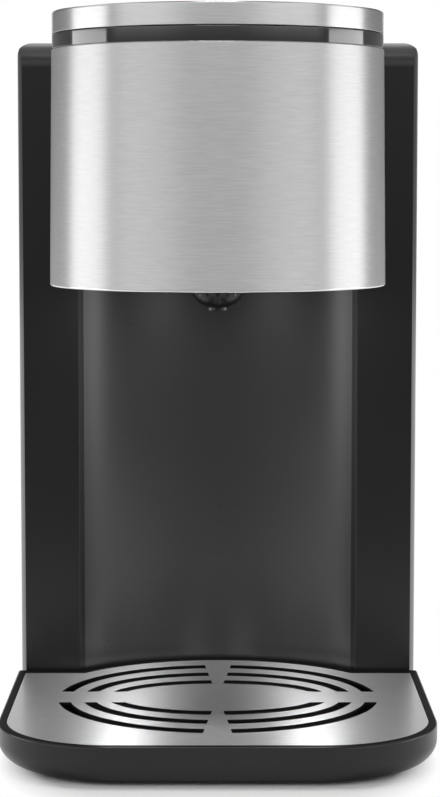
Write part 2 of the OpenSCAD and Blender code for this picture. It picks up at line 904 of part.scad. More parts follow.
// Tower
module side_profile(inset) {
  r = top_front_r - inset;
  y0 = tower_y + inset;
  z1 = tower_h - inset;
  translate([y0, foot_h - inset]) square([tower_d + inset, z1 - r - foot_h + inset]);
  translate([y0 + r, foot_h - inset]) square([tower_d - r + inset, z1 - foot_h + inset]);
  translate([y0 + r, z1 - r]) circle(r);
}

module front_profile() {
  r = top_corner_r;
  translate([-tower_w / 2, foot_h]) square([tower_w, tower_h - foot_h - r]);
  translate([-tower_w / 2 + r, foot_h]) square([tower_w - 2 * r, tower_h - foot_h]);
  for (s = [-1, 1]) translate([s * (tower_w / 2 - r), tower_h - r]) circle(r);
}

module tower_outer() {
  intersection() {
    linear_extrude(tower_h) plan_block(tower_w, tower_y, tower_back_y, edge_r, lap);
    translate([-tower_w, 0, 0]) rotate([90, 0, 90]) linear_extrude(2 * tower_w) side_profile(0);
    translate([0, overall_d, 0]) facing_front() linear_extrude(2 * overall_d) front_profile();
  }
}

module tower_cavity() {
  translate([-tower_in_half, 0, 0]) rotate([90, 0, 90])
    linear_extrude(2 * tower_in_half) side_profile(wall);
}

module tower_bosses() {
  boss_len = pilot_len + boss_floor;
  for (s = [-1, 1]) {
    for (z = cover_screw_z)
      translate([s * boss_x, cover_y, z]) facing_front() cylinder(h = boss_len, r = boss_r);
    for (y = base_screw_ys)
      translate([s * boss_x, y, base_top]) cylinder(h = base_boss_h, r = boss_r);
  }
}

module head_screw_places() {
  for (s = [-1, 1], z = head_screw_zs)
    translate([s * head_screw_x, head_boss_y, z]) facing_front() children();
}

module tower_housing() {
  color(satin_black) difference() {
    union() {
      difference() {
        tower_outer();
        tower_cavity();
      }
      intersection() {
        drum_cone(pocket_gap + wall, ceiling_top, tower_h - lap);
        tower_cavity();
      }
      head_screw_places() cylinder(h = pad_depth, r = boss_r);
      tower_bosses();
    }
    at_head() cylinder(h = niche_top, r = niche_r);
    drum_cone(pocket_gap, niche_top - over, tower_h + over);
    translate([-window_half, head_y, window_z]) cube([2 * window_half, window_cut, window_h]);
    head_screw_places() pilot();
    for (s = [-1, 1]) {
      for (z = cover_screw_z) translate([s * boss_x, cover_y, z]) facing_front() pilot();
      for (y = base_screw_ys) translate([s * boss_x, y, base_top]) pilot();
    }
  }
}

module column_panel() {
  flange_half = niche_half + flange_w;
  color(satin_black) difference() {
    union() {
      intersection() {
        at_head(base_top) cylinder(h = ceiling_top - base_top, r = niche_r + wall);
        behind(tower_y + wall, 0, tower_h);
      }
      translate([-flange_half, tower_y + wall, base_top])
        cube([2 * flange_half, wall, ceiling_top - base_top]);
    }
    at_head() cylinder(h = niche_top, r = niche_r);
    drum_cone(pocket_gap, niche_top - over, ceiling_top + over);
  }
}

module standoff_places() {
  for (s = [-1, 1], t = [-1, 1])
    translate([
      power_x + s * (power_w / 2 - standoff_in), cover_y,
      power_z + power_h / 2 + t * (power_h / 2 - standoff_in)
    ])
      facing_front() children();
}

module rear_cover() {
  half = tower_in_half - seam;
  notch = hose_r + notch_gap;
  color(satin_black) difference() {
    union() {
      translate([-half, cover_y, base_top]) cube([2 * half, wall, tower_h - wall - seam - base_top]);
      standoff_places() cylinder(h = standoff_len, r = standoff_r);
    }
    for (s = [-1, 1], z = cover_screw_z)
      translate([s * boss_x, tower_back_y, z]) facing_front() pilot();
    translate([-notch, cover_y - over, base_top - over])
      cube([2 * notch, wall + 2 * over, dock_spigot_z - base_top + notch + over]);
  }
}

module cover_screws() {
  color(brushed) for (s = [-1, 1], z = cover_screw_z)
    translate([s * boss_x, tower_back_y, z]) facing_front() screw();
}

// Dock under the tank
module tank_dock() {
  color(satin_black) difference() {
    union() {
      difference() {
        translate([0, 0, foot_h]) linear_extrude(dock_top - foot_h)
          plan_block(dock_w, dock_y0, dock_y1, lap, dock_back_r);
        linear_extrude(dock_top - wall)
          plan_block(dock_w - 2 * wall, dock_y0 - over, dock_y1 - wall, lap, dock_back_r - wall);
      }
      for (s = [-1, 1]) translate([s * dock_screw_x, dock_screw_y, base_top])
        cylinder(h = dock_top - base_top - lap, r = boss_r);
    }
    translate([0, valve_y, 0]) cylinder(h = dock_top + over, r = cup_r + cup_wall + seam);
    for (s = [-1, 1]) translate([s * dock_screw_x, dock_screw_y, base_top]) pilot();
    translate([gland_x, dock_y1, gland_z]) facing_front() translate([0, 0, -over])
      cylinder(h = wall + 2 * over, r = gland_r + pin_fit);
  }
}

module dock_coupling() {
  color(inner_grey) translate([0, valve_y, 0]) difference() {
    union() {
      translate([0, 0, base_top]) cylinder(h = dock_top - base_top, r = cup_r + cup_wall);
      translate([0, -cup_r - cup_wall + lap, dock_spigot_z]) facing_front()
        cylinder(h = spigot_len + lap, r = spigot_r);
    }
    difference() {
      translate([0, 0, cup_floor]) cylinder(h = dock_top, r = cup_r);
      cylinder(h = stem_bottom - seam, r = pusher_r);
    }
    translate([0, 0, dock_seal_z - seal_r - pin_fit])
      cylinder(h = 2 * (seal_r + pin_fit), r = groove_r);
    translate([0, -cup_r - cup_wall, dock_spigot_z]) facing_front()
      spigot_bore(cup_wall + 2 * spigot_bore_r);
    translate([0, -cup_r + spigot_bore_r, dock_spigot_z])
      cylinder(h = cup_floor - dock_spigot_z + over, r = riser_r);
  }
}

module dock_seal() {
  color(dark_rubber) translate([0, valve_y, dock_seal_z]) torus(dock_seal_ring_r, seal_r);
}

module cord_gland() {
  color(dark_rubber) translate([gland_x, dock_y1, gland_z]) facing_front() difference() {
    union() {
      translate([0, 0, -gland_collar_t]) cylinder(h = gland_collar_t, r = gland_r + gland_collar);
      cylinder(h = gland_len, r = gland_r);
    }
    translate([0, 0, -gland_collar_t - over])
      cylinder(h = gland_len + gland_collar_t + 2 * over, r = gland_bore_r);
  }
}

// Tank
module tank_outline(inset) {
  plan_block(
    tank_w - 2 * inset, tank_y0 + inset, back_y - inset, tank_front_r - inset, tank_back_r - inset
  );
}

module hinge_rod(x0, x1, r) {
  translate([x0, hinge_y, hinge_z]) rotate([0, 90, 0]) cylinder(h = x1 - x0, r = r);
}

module water_tank() {
  color(clear_smoke) difference() {
    union() {
      difference() {
        translate([0, 0, tank_z]) linear_extrude(tank_h) tank_outline(0);
        translate([0, 0, tank_floor_top]) linear_extrude(tank_h) tank_outline(tank_wall);
      }
      intersection() {
        translate([0, 0, tank_top - bridge_t]) linear_extrude(bridge_t) tank_outline(0);
        behind(bridge_y, 0, tank_top);
      }
      translate([0, valve_y, tank_z - spout_len]) cylinder(h = spout_len + lap, r = spout_r);
      for (s = [-1, 1]) {
        x0 = s > 0 ? ear_x0 : -ear_x0 - ear_w;
        hinge_rod(x0, x0 + ear_w, hinge_r);
        translate([x0, hinge_y - hinge_r, tank_top - lap])
          cube([ear_w, 2 * hinge_r, hinge_z - tank_top + lap]);
      }
    }
    translate([0, valve_y, 0]) cylinder(h = tank_floor_top + over, r = spout_bore_r);
    hinge_rod(-ear_x0 - ear_w - over, ear_x0 + ear_w + over, hinge_pin_r + pin_fit);
  }
}

module tank_lid() {
  color(satin_black) difference() {
    union() {
      difference() {
        translate([0, 0, lid_z]) linear_extrude(lid_t) tank_outline(0);
        behind(lid_back_y, 0, lid_z + lid_t + over);
      }
      hinge_rod(-barrel_half, barrel_half, hinge_r);
      translate([-barrel_half, lid_back_y - lap, lid_z])
        cube([2 * barrel_half, hinge_y - lid_back_y + lap, min(lid_t, hinge_z - lid_z)]);
      translate([-grip_w / 2, grip_y, lid_z + lid_t - lap]) cube([grip_w, grip_d, grip_h + lap]);
    }
    hinge_rod(-barrel_half - over, barrel_half + over, hinge_pin_r + pin_fit);
  }
}

module lid_hinge_pin() {
  color(brushed) hinge_rod(-ear_x0 - ear_w, ear_x0 + ear_w, hinge_pin_r);
}

module valve_plunger() {
  color(white_part) translate([0, valve_y, 0]) {
    translate([0, 0, stem_bottom]) cylinder(h = cage_top + stem_rise - stem_bottom, r = valve_stem_r);
    translate([0, 0, disc_z]) cylinder(h = valve_disc_t, r = valve_disc_r);
  }
}

module valve_spring() {
  color(brushed) wire(spring_path, wire_r, spring_sides);
}

module valve_cage() {
  leg_ring_r = cage_r - cage_leg_r - cage_leg_in;
  color(white_part) translate([0, valve_y, tank_floor_top]) {
    tube(cage_plate_t, cage_r, valve_disc_r + 2 * run_gap);
    for (i = [0 : cage_leg_n - 1]) rotate(360 * (i + 0.5) / cage_leg_n)
      translate([leg_ring_r, 0, lap]) cylinder(h = cage_h - 2 * lap, r = cage_leg_r);
    translate([0, 0, cage_h - cage_plate_t]) tube(cage_plate_t, cage_r, valve_stem_r + run_gap);
  }
}

module float_post() {
  color(white_part) translate([-float_x, float_y, 0]) {
    translate([0, 0, tank_floor_top]) cylinder(h = float_foot_h, r = float_foot_r);
    translate([0, 0, tank_floor_top]) cylinder(h = float_knob_z - tank_floor_top, r = float_post_r);
    translate([0, 0, float_knob_z]) cylinder(h = float_knob_h, r = float_knob_r);
  }
}

module level_float() {
  color(float_red) translate([-float_x, float_y, float_z])
    tube(float_h, float_r, float_post_r + run_gap);
}

module float_sensor() {
  color(inner_grey) translate([-float_x - sensor_w / 2, cover_y - sensor_d, float_z])
    cube([sensor_w, sensor_d, sensor_h]);
}

// Head
module head_frame() {
  color(inner_grey) difference() {
    union() {
      at_head(under_top) tube(drum_top - under_top, frame_r, frame_in_r);
      at_head(deck_z - ledge_h) tube(ledge_h, frame_r - lap, frame_in_r - ledge_h);
      intersection() {
        drum_cone(pocket_gap - pin_fit, under_top + pad_end, drum_top - pad_end);
        translate([-pad_half, head_y + frame_in_r - pad_depth / 2, 0])
          cube([2 * pad_half, pad_depth * 2, tower_h]);
        at_head() difference() {
          cylinder(h = tower_h, r = head_r + 2 * pad_depth);
          translate([0, 0, -over]) cylinder(h = tower_h + 2 * over, r = frame_in_r);
        }
      }
    }
    translate([-window_half, head_y, window_z]) cube([2 * window_half, window_cut, window_h]);
    head_screw_places() pilot();
  }
}

module head_shell() {
  color(brushed) difference() {
    drum_cone(0, head_z, drum_top);
    drum_cone(-skin_t, head_z - over, drum_top + over);
    translate([-shell_gap_half, head_y, 0]) cube([2 * shell_gap_half, overall_d, tower_h]);
  }
}

module head_underside() {
  color(satin_black) difference() {
    at_head(under_z) cylinder(h = underside_t, r = drum_r(under_top) - skin_t - pin_fit);
    at_head(under_z - over) cylinder(h = underside_t + 2 * over, r = neck_r + seam);
  }
}

module head_screws() {
  color(brushed) head_screw_places() screw();
}

module nozzle_body() {
  rotate_extrude() intersection() {
    union() {
      translate([nozzle_flat, 0]) circle(nozzle_depth);
      translate([0, -nozzle_depth]) square([nozzle_flat, nozzle_depth]);
    }
    translate([0, -nozzle_depth]) square([nozzle_r + over, nozzle_depth]);
  }
  cylinder(h = underside_t + neck_h, r = neck_r);
  translate([0, 0, -nozzle_depth - outlet_lip_h])
    cylinder(h = nozzle_depth + outlet_lip_h, r = outlet_r + outlet_lip_t);
}

module outlet_nozzle() {
  groove_top = 1.2;
  color(gloss_black) at_head(under_z) difference() {
    nozzle_body();
    translate([0, 0, -nozzle_depth - outlet_lip_h - over])
      cylinder(h = nozzle_depth + outlet_lip_h + 2 * over, r = outlet_r);
    cylinder(h = underside_t + neck_h + over, r = neck_bore_r);
    for (i = [0 : groove_n - 1]) rotate(360 * i / groove_n)
      translate([nozzle_r - groove_depth, -groove_w / 2, -nozzle_depth])
        cube([nozzle_r, groove_w, nozzle_depth - groove_top]);
  }
}

module nozzle_seal() {
  color(dark_rubber) at_head(under_top + seal_r) torus(seal_ring_r, seal_r);
}

module outlet_chamber() {
  color(white_part) difference() {
    union() {
      at_head(under_top) cylinder(h = chamber_h, r = chamber_r);
      translate([0, head_y + chamber_r - lap, chamber_spigot_z]) rotate([-90, 0, 0])
        cylinder(h = spigot_len + lap, r = spigot_r);
    }
    at_head(under_top - over) cylinder(h = socket_h + over, r = socket_r);
    at_head(under_top) cylinder(h = chamber_h - chamber_wall, r = neck_bore_r);
    at_head(under_top + socket_h + chamber_wall)
      cylinder(h = chamber_h - socket_h - 2 * chamber_wall, r = chamber_r - chamber_wall);
    translate([0, head_y + chamber_r, chamber_spigot_z]) rotate([-90, 0, 0])
      spigot_bore(chamber_wall + over);
  }
}

// Dial
module light_band() {
  color(gloss_black) at_head(drum_top) tube(band_h, band_r, gear_r + 2 * run_gap);
}

module dial_ring() {
  out_r = head_r - run_gap;
  color(brushed) at_head(ring_z) rotate_extrude() {
    translate([ring_in_r, 0]) square([out_r - ring_in_r, ring_h - ring_edge_r]);
    translate([ring_in_r, 0]) square([out_r - ring_edge_r - ring_in_r, ring_h]);
    translate([out_r - ring_edge_r, ring_h - ring_edge_r]) circle(ring_edge_r);
    translate([ring_in_r - lip_w, 0]) square([lip_w + lap, lip_h]);
  }
}

// Half angle of a tooth at a radius, wider by extra at the pitch circle
function involute(a) = tan(a) * 180 / PI - a;
function flank_angle(teeth, r, extra) =
  let (pitch = gear_m * teeth / 2, base = pitch * cos(pressure_angle))
    90 / teeth + extra / pitch * 180 / PI + involute(pressure_angle)
      - involute(r > base ? acos(base / r) : 0);

module gear_outline(teeth, inner, outer, extra) {
  flank = [for (k = [0 : flank_steps]) inner + (outer - inner) * k / flank_steps];
  polygon([
    for (i = [0 : teeth - 1]) each [
      for (k = [0 : flank_steps])
        let (a = 360 * i / teeth - flank_angle(teeth, flank[k], extra)) flank[k] * [cos(a), sin(a)],
      for (k = [flank_steps : -1 : 0])
        let (a = 360 * i / teeth + flank_angle(teeth, flank[k], extra)) flank[k] * [cos(a), sin(a)]
    ]
  ]);
}

module dial_gear() {
  pitch = gear_m * ring_teeth / 2;
  color(white_part) at_head(gear_z) linear_extrude(gear_h) difference() {
    circle(gear_r);
    gear_outline(ring_teeth, pitch - addendum, pitch + dedendum, flank_gap);
  }
}

module encoder_pinion() {
  pitch = gear_m * pinion_teeth / 2;
  shaft_z = board_top + encoder_floor;
  color(white_part) translate([pinion_x, head_y, 0]) {
    translate([0, 0, gear_z + run_gap]) linear_extrude(gear_h - 3 * run_gap)
      gear_outline(pinion_teeth, pitch - dedendum, pitch + addendum, -flank_gap);
    translate([0, 0, shaft_z]) cylinder(h = gear_z + pinion_grip - shaft_z, r = pinion_shaft_r);
  }
}

module encoder() {
  color(inner_grey) translate([pinion_x, head_y, board_top]) difference() {
    translate([-encoder_w / 2, -encoder_w / 2, 0]) cube([encoder_w, encoder_w, encoder_h]);
    translate([0, 0, encoder_floor - run_gap]) cylinder(h = encoder_h, r = pinion_shaft_r + pin_fit);
  }
}

// Controls
function button_spot(i) =
  let (a = -90 + (i - (button_n - 1) / 2) * button_step)
    button_ring_r * [cos(a), sin(a)];

module control_deck() {
  color(inner_grey) {
    at_head(deck_z) cylinder(h = deck_t, r = frame_in_r - seam);
    for (a = post_angles) at_head(deck_top - lap) rotate(a) translate([post_ring_r, 0, 0])
      cylinder(h = panel_z - deck_top + lap, r = post_r);
    for (a = standoff_angles) at_head(deck_top - lap) rotate(a) translate([board_standoff_ring, 0, 0])
      cylinder(h = board_lift + lap, r = standoff_r);
  }
}

module control_board() {
  color(board_green) at_head(board_z) cylinder(h = board_t, r = board_r);
}

module switch_body(r) {
  difference() {
    translate([-switch_w / 2 - r + stem_r, -switch_w / 2 - r + stem_r, 0])
      cube([switch_w + 2 * (r - stem_r), switch_w + 2 * (r - stem_r), switch_h]);
    translate([0, 0, stem_end - board_top - press - run_gap]) cylinder(h = switch_h, r = r + run_gap);
  }
}

module tact_switches() {
  color(inner_grey) at_head(board_top) {
    switch_body(start_stem_r);
    for (i = [0 : button_n - 1]) translate(button_spot(i)) switch_body(stem_r);
  }
}

module display_module() {
  w = display_w - 2 * display_ledge - module_margin;
  d = display_d - 2 * display_ledge - module_margin;
  color(inner_grey) at_head(board_top) translate([-w / 2, display_y - d / 2, 0])
    cube([w, d, panel_z - board_top - seam]);
}

module control_panel() {
  panel_t = panel_top - panel_z;
  hole_w = display_w - 2 * display_ledge;
  hole_d = display_d - 2 * display_ledge;
  color(gloss_black) at_head(panel_z) difference() {
    cylinder(h = panel_t, r = panel_r);
    translate([0, 0, -over]) cylinder(h = panel_t + 2 * over, r = start_r + run_gap);
    for (i = [0 : button_n - 1]) translate(button_spot(i)) translate([0, 0, -over])
      cylinder(h = panel_t + 2 * over, r = button_r + run_gap);
    translate([-hole_w / 2, display_y - hole_d / 2, -over]) cube([hole_w, hole_d, panel_t + 2 * over]);
    translate([-display_w / 2, display_y - display_d / 2, panel_t - display_t])
      cube([display_w, display_d, display_t + over]);
  }
}

module display_window() {
  w = display_w - 2 * seam;
  d = display_d - 2 * seam;
  color(lens_dark) at_head(panel_top - display_t) translate([-w / 2, display_y - d / 2, 0])
    cube([w, d, display_t]);
}

// Button: cap through the panel, collar under it, stem down to its switch
module button(r, stem) {
  collar_z = panel_z - run_gap - collar_t;
  translate([0, 0, collar_z]) cylinder(h = panel_top + button_rise - collar_z, r = r);
  translate([0, 0, collar_z]) cylinder(h = collar_t, r = r + collar_w);
  translate([0, 0, stem_end]) cylinder(h = collar_z - stem_end + lap, r = stem);
}

module small_button(i) {
  color(satin_black) at_head() translate(button_spot(i)) button(button_r, stem_r);
}

module start_button() {
  color(brushed) at_head() button(start_r, start_stem_r);
}

module power_button() {
  small_button(0);
}

module temperature_button() {
  small_button(1);
}

module volume_button() {
  small_button(2);
}

module lock_button() {
  small_button(3);
}

// Heater
module at_heater(z) {
  translate([-heater_x, flow_y, z]) children();
}

module heater_tube() {
  color(brushed) at_heater(heater_z) tube(heater_len, heater_r, heater_r - heater_wall);
}

module heater_caps() {
  inlet_z = heater_z - heater_cap_h / 2;
  color(inner_grey) {
    difference() {
      union() {
        at_heater(heater_z - heater_cap_h) cylinder(h = heater_cap_h, r = heater_r);
        at_heater(inlet_z) rotate([0, 90, 0]) cylinder(h = heater_r + spigot_len, r = spigot_r);
      }
      at_heater(inlet_z) cylinder(h = heater_cap_h, r = riser_r);
      translate([-spigot_bore_r, 0, 0]) at_heater(inlet_z) rotate([0, 90, 0])
        cylinder(h = heater_r + spigot_len + spigot_bore_r + over, r = spigot_bore_r);
    }
    difference() {
      union() {
        at_heater(heater_top) cylinder(h = heater_cap_h, r = heater_r);
        at_heater(heater_top + heater_cap_h - lap) cylinder(h = spigot_len + lap, r = spigot_r);
      }
      at_heater(heater_top - over) cylinder(h = heater_cap_h + spigot_len + 2 * over, r = spigot_bore_r);
      translate([probe_x, 0, 0]) at_heater(heater_top + heater_cap_h - probe_h / 2)
        cylinder(h = probe_h, r = probe_r + pin_fit);
    }
  }
}

module heater_brackets() {
  color(inner_grey) for (z = [heater_z + bracket_in, heater_top - bracket_in - bracket_h]) difference() {
    at_heater(z) translate([-bracket_half, 0, 0]) cube([2 * bracket_half, flow_back, bracket_h]);
    at_heater(z - over) cylinder(h = bracket_h + 2 * over, r = heater_r + pin_fit);
  }
}

module thermal_cutout() {
  color(brushed) at_heater(heater_top - bracket_in / 2) difference() {
    rotate([90, 0, 0]) cylinder(h = heater_r + cutout_t, r = cutout_r);
    translate([0, 0, -heater_r]) cylinder(h = 2 * heater_r, r = heater_r + pin_fit);
  }
}

module temperature_sensor() {
  color(brushed) translate([probe_x, 0, 0]) at_heater(heater_top + heater_cap_h - probe_h / 2)
    cylinder(h = probe_h, r = probe_r);
}

// Pump
module at_pump(z) {
  translate([pump_x, flow_y, z]) children();
}

module pump_motor() {
  color(brushed) difference() {
    at_pump(pump_top) cylinder(h = motor_h, r = motor_r);
    at_pump(pump_top - over) cylinder(h = shaft_sink + run_gap + over, r = shaft_r + pin_fit);
  }
}

module pump_housing() {
  color(inner_grey) difference() {
    union() {
      at_pump(pump_z) cylinder(h = pump_h, r = pump_r);
      at_pump(pump_z - spigot_len) cylinder(h = spigot_len + lap, r = spigot_r);
      at_pump(pump_port_z) rotate([0, -90, 0]) cylinder(h = pump_r + spigot_len, r = spigot_r);
    }
    at_pump(pump_z + pump_wall) cylinder(h = pump_h - 2 * pump_wall, r = pump_r - pump_wall);
    at_pump(pump_z - spigot_len - over) cylinder(h = spigot_len + pump_wall + 2 * over, r = spigot_bore_r);
    at_pump(pump_port_z) rotate([0, -90, 0]) cylinder(h = pump_r + spigot_len + over, r = spigot_bore_r);
    at_pump(pump_top - pump_wall - over) cylinder(h = pump_wall + 2 * over, r = shaft_r + pin_fit);
  }
}

module pump_rotor() {
  disc_top = pump_top - pump_wall - run_gap;
  color(white_part) {
    at_pump(disc_top - impeller_t) cylinder(h = impeller_t, r = impeller_r);
    at_pump(disc_top - impeller_t) cylinder(h = pump_top + shaft_sink - disc_top + impeller_t, r = shaft_r);
    for (i = [0 : vane_n - 1]) at_pump(disc_top - impeller_t - vane_h) rotate(360 * i / vane_n)
      translate([spigot_bore_r + vane_t, -vane_t / 2, 0])
        cube([impeller_r - spigot_bore_r - 2 * vane_t, vane_t, vane_h + lap]);
  }
}

module pump_bracket() {
  half = motor_r + bracket_rim;
  color(inner_grey) difference() {
    union() {
      at_pump(bracket_z) cylinder(h = bracket_t, r = half);
      at_pump(bracket_z) translate([-half, 0, 0]) cube([2 * half, flow_back, bracket_t]);
    }
    at_pump(bracket_z - over) cylinder(h = bracket_t + 2 * over, r = motor_r + pin_fit);
  }
}

// Power board with its relay, transformer, capacitors and terminal block
module power_board() {
  left = power_x - power_w / 2;
  color(board_green) {
    translate([left, power_y - board_t, power_z]) cube([power_w, board_t, power_h]);
    translate([
      left + board_margin, power_y - board_t - relay[1] + lap,
      power_z + power_h - relay[2] - board_margin
    ])
      cube(relay);
    translate([
      left + power_w - transformer[0] - board_margin, power_y - board_t - transformer[1] + lap,
      power_z + power_h - transformer[2] - board_margin
    ])
      cube(transformer);
    translate([power_x - terminal[0] / 2, power_y - board_t - terminal[1] + lap, power_z + board_margin])
      cube(terminal);
    for (i = [-1, 0, 1])
      translate([power_x + i * 3 * cap_r, power_y - board_t + lap, power_z + power_h / 2 - board_margin])
        facing_front() cylinder(h = cap_len, r = cap_r);
  }
}

// Hoses
module inlet_hose() {
  color(silicone) hollow_tube(smooth(inlet_route, hose_steps), hose_r, hose_in_r, hose_sides);
}

module pump_hose() {
  x0 = -heater_x + heater_r + spigot_len - hose_lap;
  x1 = pump_x - pump_r - spigot_len + hose_lap;
  color(silicone) translate([x0, flow_y, pump_port_z]) rotate([0, 90, 0])
    tube(x1 - x0, hose_r, spigot_r + pin_fit);
}

module outlet_hose() {
  color(silicone) hollow_tube(smooth(outlet_route, hose_steps), hose_r, hose_in_r, hose_sides);
}

base_plate();
rubber_feet();
drip_tray();
drip_grid();
tower_housing();
column_panel();
rear_cover();
cover_screws();
base_screws();
tank_dock();
dock_coupling();
dock_seal();
cord_gland();
water_tank();
tank_lid();
lid_hinge_pin();
valve_plunger();
valve_spring();
valve_cage();
level_float();
float_post();
float_sensor();
head_frame();
head_shell();
head_underside();
head_screws();
outlet_nozzle();
nozzle_seal();
outlet_chamber();
light_band();
dial_ring();
dial_gear();
encoder();
encoder_pinion();
control_deck();
control_board();
tact_switches();
display_module();
control_panel();
display_window();
start_button();
power_button();
temperature_button();
volume_button();
lock_button();
heater_tube();
heater_caps();
heater_brackets();
thermal_cutout();
temperature_sensor();
pump_motor();
pump_housing();
pump_rotor();
pump_bracket();
power_board();
inlet_hose();
pump_hose();
outlet_hose();
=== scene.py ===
"""Looks of the hot water dispenser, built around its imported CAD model."""
import json
import math

import bmesh
import bpy
from mathutils import Matrix, Vector


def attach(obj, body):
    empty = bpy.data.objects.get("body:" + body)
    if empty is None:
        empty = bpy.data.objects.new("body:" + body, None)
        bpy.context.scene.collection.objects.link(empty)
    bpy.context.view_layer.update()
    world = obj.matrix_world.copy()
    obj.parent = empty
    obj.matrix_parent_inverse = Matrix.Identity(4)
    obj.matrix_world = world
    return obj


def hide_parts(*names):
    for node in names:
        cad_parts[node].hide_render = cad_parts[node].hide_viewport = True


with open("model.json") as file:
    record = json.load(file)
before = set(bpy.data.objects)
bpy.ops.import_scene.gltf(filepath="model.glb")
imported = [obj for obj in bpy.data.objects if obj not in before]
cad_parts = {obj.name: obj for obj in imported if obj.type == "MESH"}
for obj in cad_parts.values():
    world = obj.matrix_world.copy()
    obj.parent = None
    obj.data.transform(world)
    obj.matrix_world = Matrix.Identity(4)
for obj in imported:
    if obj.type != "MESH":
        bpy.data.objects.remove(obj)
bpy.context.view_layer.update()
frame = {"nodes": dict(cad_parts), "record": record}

MM = 0.001
UP = Vector((0, 0, 1))

# Places of the solids, in millimetres
HEAD_Y = -60.0
TOWER_Y, TOWER_BACK_Y = -6.0, 75.0
TOWER_HALF, TOWER_IN_HALF, SHELL_PROUD = 89.0, 86.5, 0.5
SHELL_HALF = TOWER_HALF + SHELL_PROUD
TOWER_Z, TOWER_TOP = 1.6, 296.6
WALL = 2.5
NICHE_R, NICHE_TOP, CEILING_TOP, CEILING_HOLE_R = 82.4, 193.2, 195.7, 71.05
BASE_TOP = 4.6
DRUM_Z, DRUM_TOP = 192.0, 290.0
DRUM_R_LOW, DRUM_R_TOP, SKIN = 70.5, 69.4, 0.8
POCKET_GAP = 0.5
SHELL_GAP_HALF = 40.0
BAND_TOP, BAND_R, BAND_IN_R = 296.0, 69.3, 61.5
RING_Z, RING_TOP, RING_R, RING_IN_R, LIP_IN_R, LIP_TOP = 296.3, 305.4, 69.1, 61.2, 57.7, 301.3
PANEL_Z, PANEL_TOP, PANEL_R = 301.6, 304.4, 60.9
BUTTON_TOP, BUTTON_LOW, COLLAR_TOP = 304.9, 299.9, 301.3
SMALL_DISH, START_DISH = 0.3, 0.5
STEM_Z = 279.1
SMALL_R, START_R, COLLAR_W = 6.2, 15.0, 1.4
SMALL_STEM_R, START_STEM_R = 2.0, 3.0
BUTTON_RING_R, BUTTON_START, BUTTON_STEP = 40.0, -135.0, 30.0
RUN_GAP = 0.3
DISPLAY_Y, DISPLAY_W, DISPLAY_D, DISPLAY_T, DISPLAY_LEDGE = -31.0, 44.0, 16.0, 1.4, 2.0
TRAY_FRONT_Y, TRAY_BACK_Y, TRAY_HALF = -150.0, -6.3, 90.0
TRAY_Z, TRAY_TOP, TRAY_CORNER_R, TRAY_NICHE_R = 1.2, 15.6, 48.0, 82.1
TRAY_FLOOR_Z, GRID_Z, GRID_TOP = 6.7, 14.4, 15.4
RIM_W, RIM_BACK_W, LEDGE_W, GRID_GAP = 3.2, 5.0, 2.0, 0.4
CHANNEL_HALF, CHANNEL_Y, CHANNEL_TOP = 62.24, -120.3, 4.9
SLOT_SIDE, SLOT_SIDE_PITCH, SLOT_DEEP, SLOT_DEEP_PITCH = 45.0, 10.4, 30.1, 16.2
SLOT_RINGS = [(SLOT_SIDE + SLOT_SIDE_PITCH * i, SLOT_DEEP + SLOT_DEEP_PITCH * i) for i in range(3)]
SLOT_W, SLOT_DEEP_W, SLOT_BAR, SLOT_GAP_ANGLE = 5.1, 7.0, 20.6, 10.3
UNDER_Z, UNDER_TOP, UNDER_R = 192.6, 195.6, 69.6
NECK_R, NECK_TOP, NECK_BORE_R = 9.0, 199.6, 6.0
NOZZLE_FLAT, NOZZLE_DEPTH, NOZZLE_R = 1.5, 10.3, 11.8
OUTLET_R, OUTLET_LIP, OUTLET_LIP_H = 3.2, 1.0, 1.2
TANK_Y0, TANK_Y1, TANK_HALF = 77.5, 150.0, 86.0
TANK_Z, TANK_FLOOR_TOP, TANK_TOP = 26.3, 29.3, 280.3
TANK_WALL, TANK_FRONT_R, TANK_BACK_R = 2.4, 6.0, 32.0
VALVE_Y, SPOUT_R, SPOUT_BORE_R, SPOUT_LEN = 113.75, 9.0, 6.0, 8.0
HINGE_Y, HINGE_Z, HINGE_R, PIN_HOLE_R = 146.0, 284.6, 4.0, 1.55
BARREL_HALF, EAR_X0, EAR_W = 30.0, 30.3, 8.0
BRIDGE_Y, BRIDGE_T = 140.0, 3.0
LID_Z, LID_TOP, LID_BACK_Y = 280.6, 284.6, 141.4
GRIP_HALF, GRIP_Y, GRIP_D, GRIP_TOP = 30.0, 89.5, 8.0, 287.6
DOCK_HALF, DOCK_Y0, DOCK_Y1, DOCK_TOP, DOCK_BACK_R = 87.5, 75.3, 147.5, 26.0, 30.0
CUP_HOLE_R = 13.5
DOCK_SCREW_X, DOCK_SCREW_Y, DOCK_POST_R, DOCK_SCREW_R, DOCK_SCREW_LEN = 57.5, 89.3, 4.0, 1.55, 13.0
GLAND_X, GLAND_Z, GLAND_R, GLAND_BORE_R, GLAND_COLLAR = 48.0, 14.55, 6.0, 3.6, 2.0
FOOT_R, FOOT_TOP = 8.0, 2.6
FOOT_SPOTS = [(s * x, y) for s in (-1, 1) for x, y in ((47.38, -108.0), (63.5, 131.5))]
COIL_R, WIRE_R, COIL_Z0, COIL_Z1, COIL_TURNS = 5.0, 0.5, 35.3, 44.8, 5
HOSE_R, HOSE_WALL, HOSE_LAP, HOSE_BEND = 5.45, 1.4, 8.0, 4.0
FLOW_Y, COVER_Y, PUMP_X, HEATER_X = 48.5, 72.5, 55.0, 50.0
DOCK_SPIGOT_Y, DOCK_SPIGOT_Z, PUMP_INLET_Z = 90.55, 11.2, 36.6
HEATER_OUTLET_Z, CHAMBER_SPIGOT_Y, CHAMBER_SPIGOT_Z = 227.6, -34.0, 220.6

# How far a cutting tool goes past a face, and where nothing is near, and how far joined shapes overlap
PAST, FAR, LAP = 5.0, 300.0, 1.0
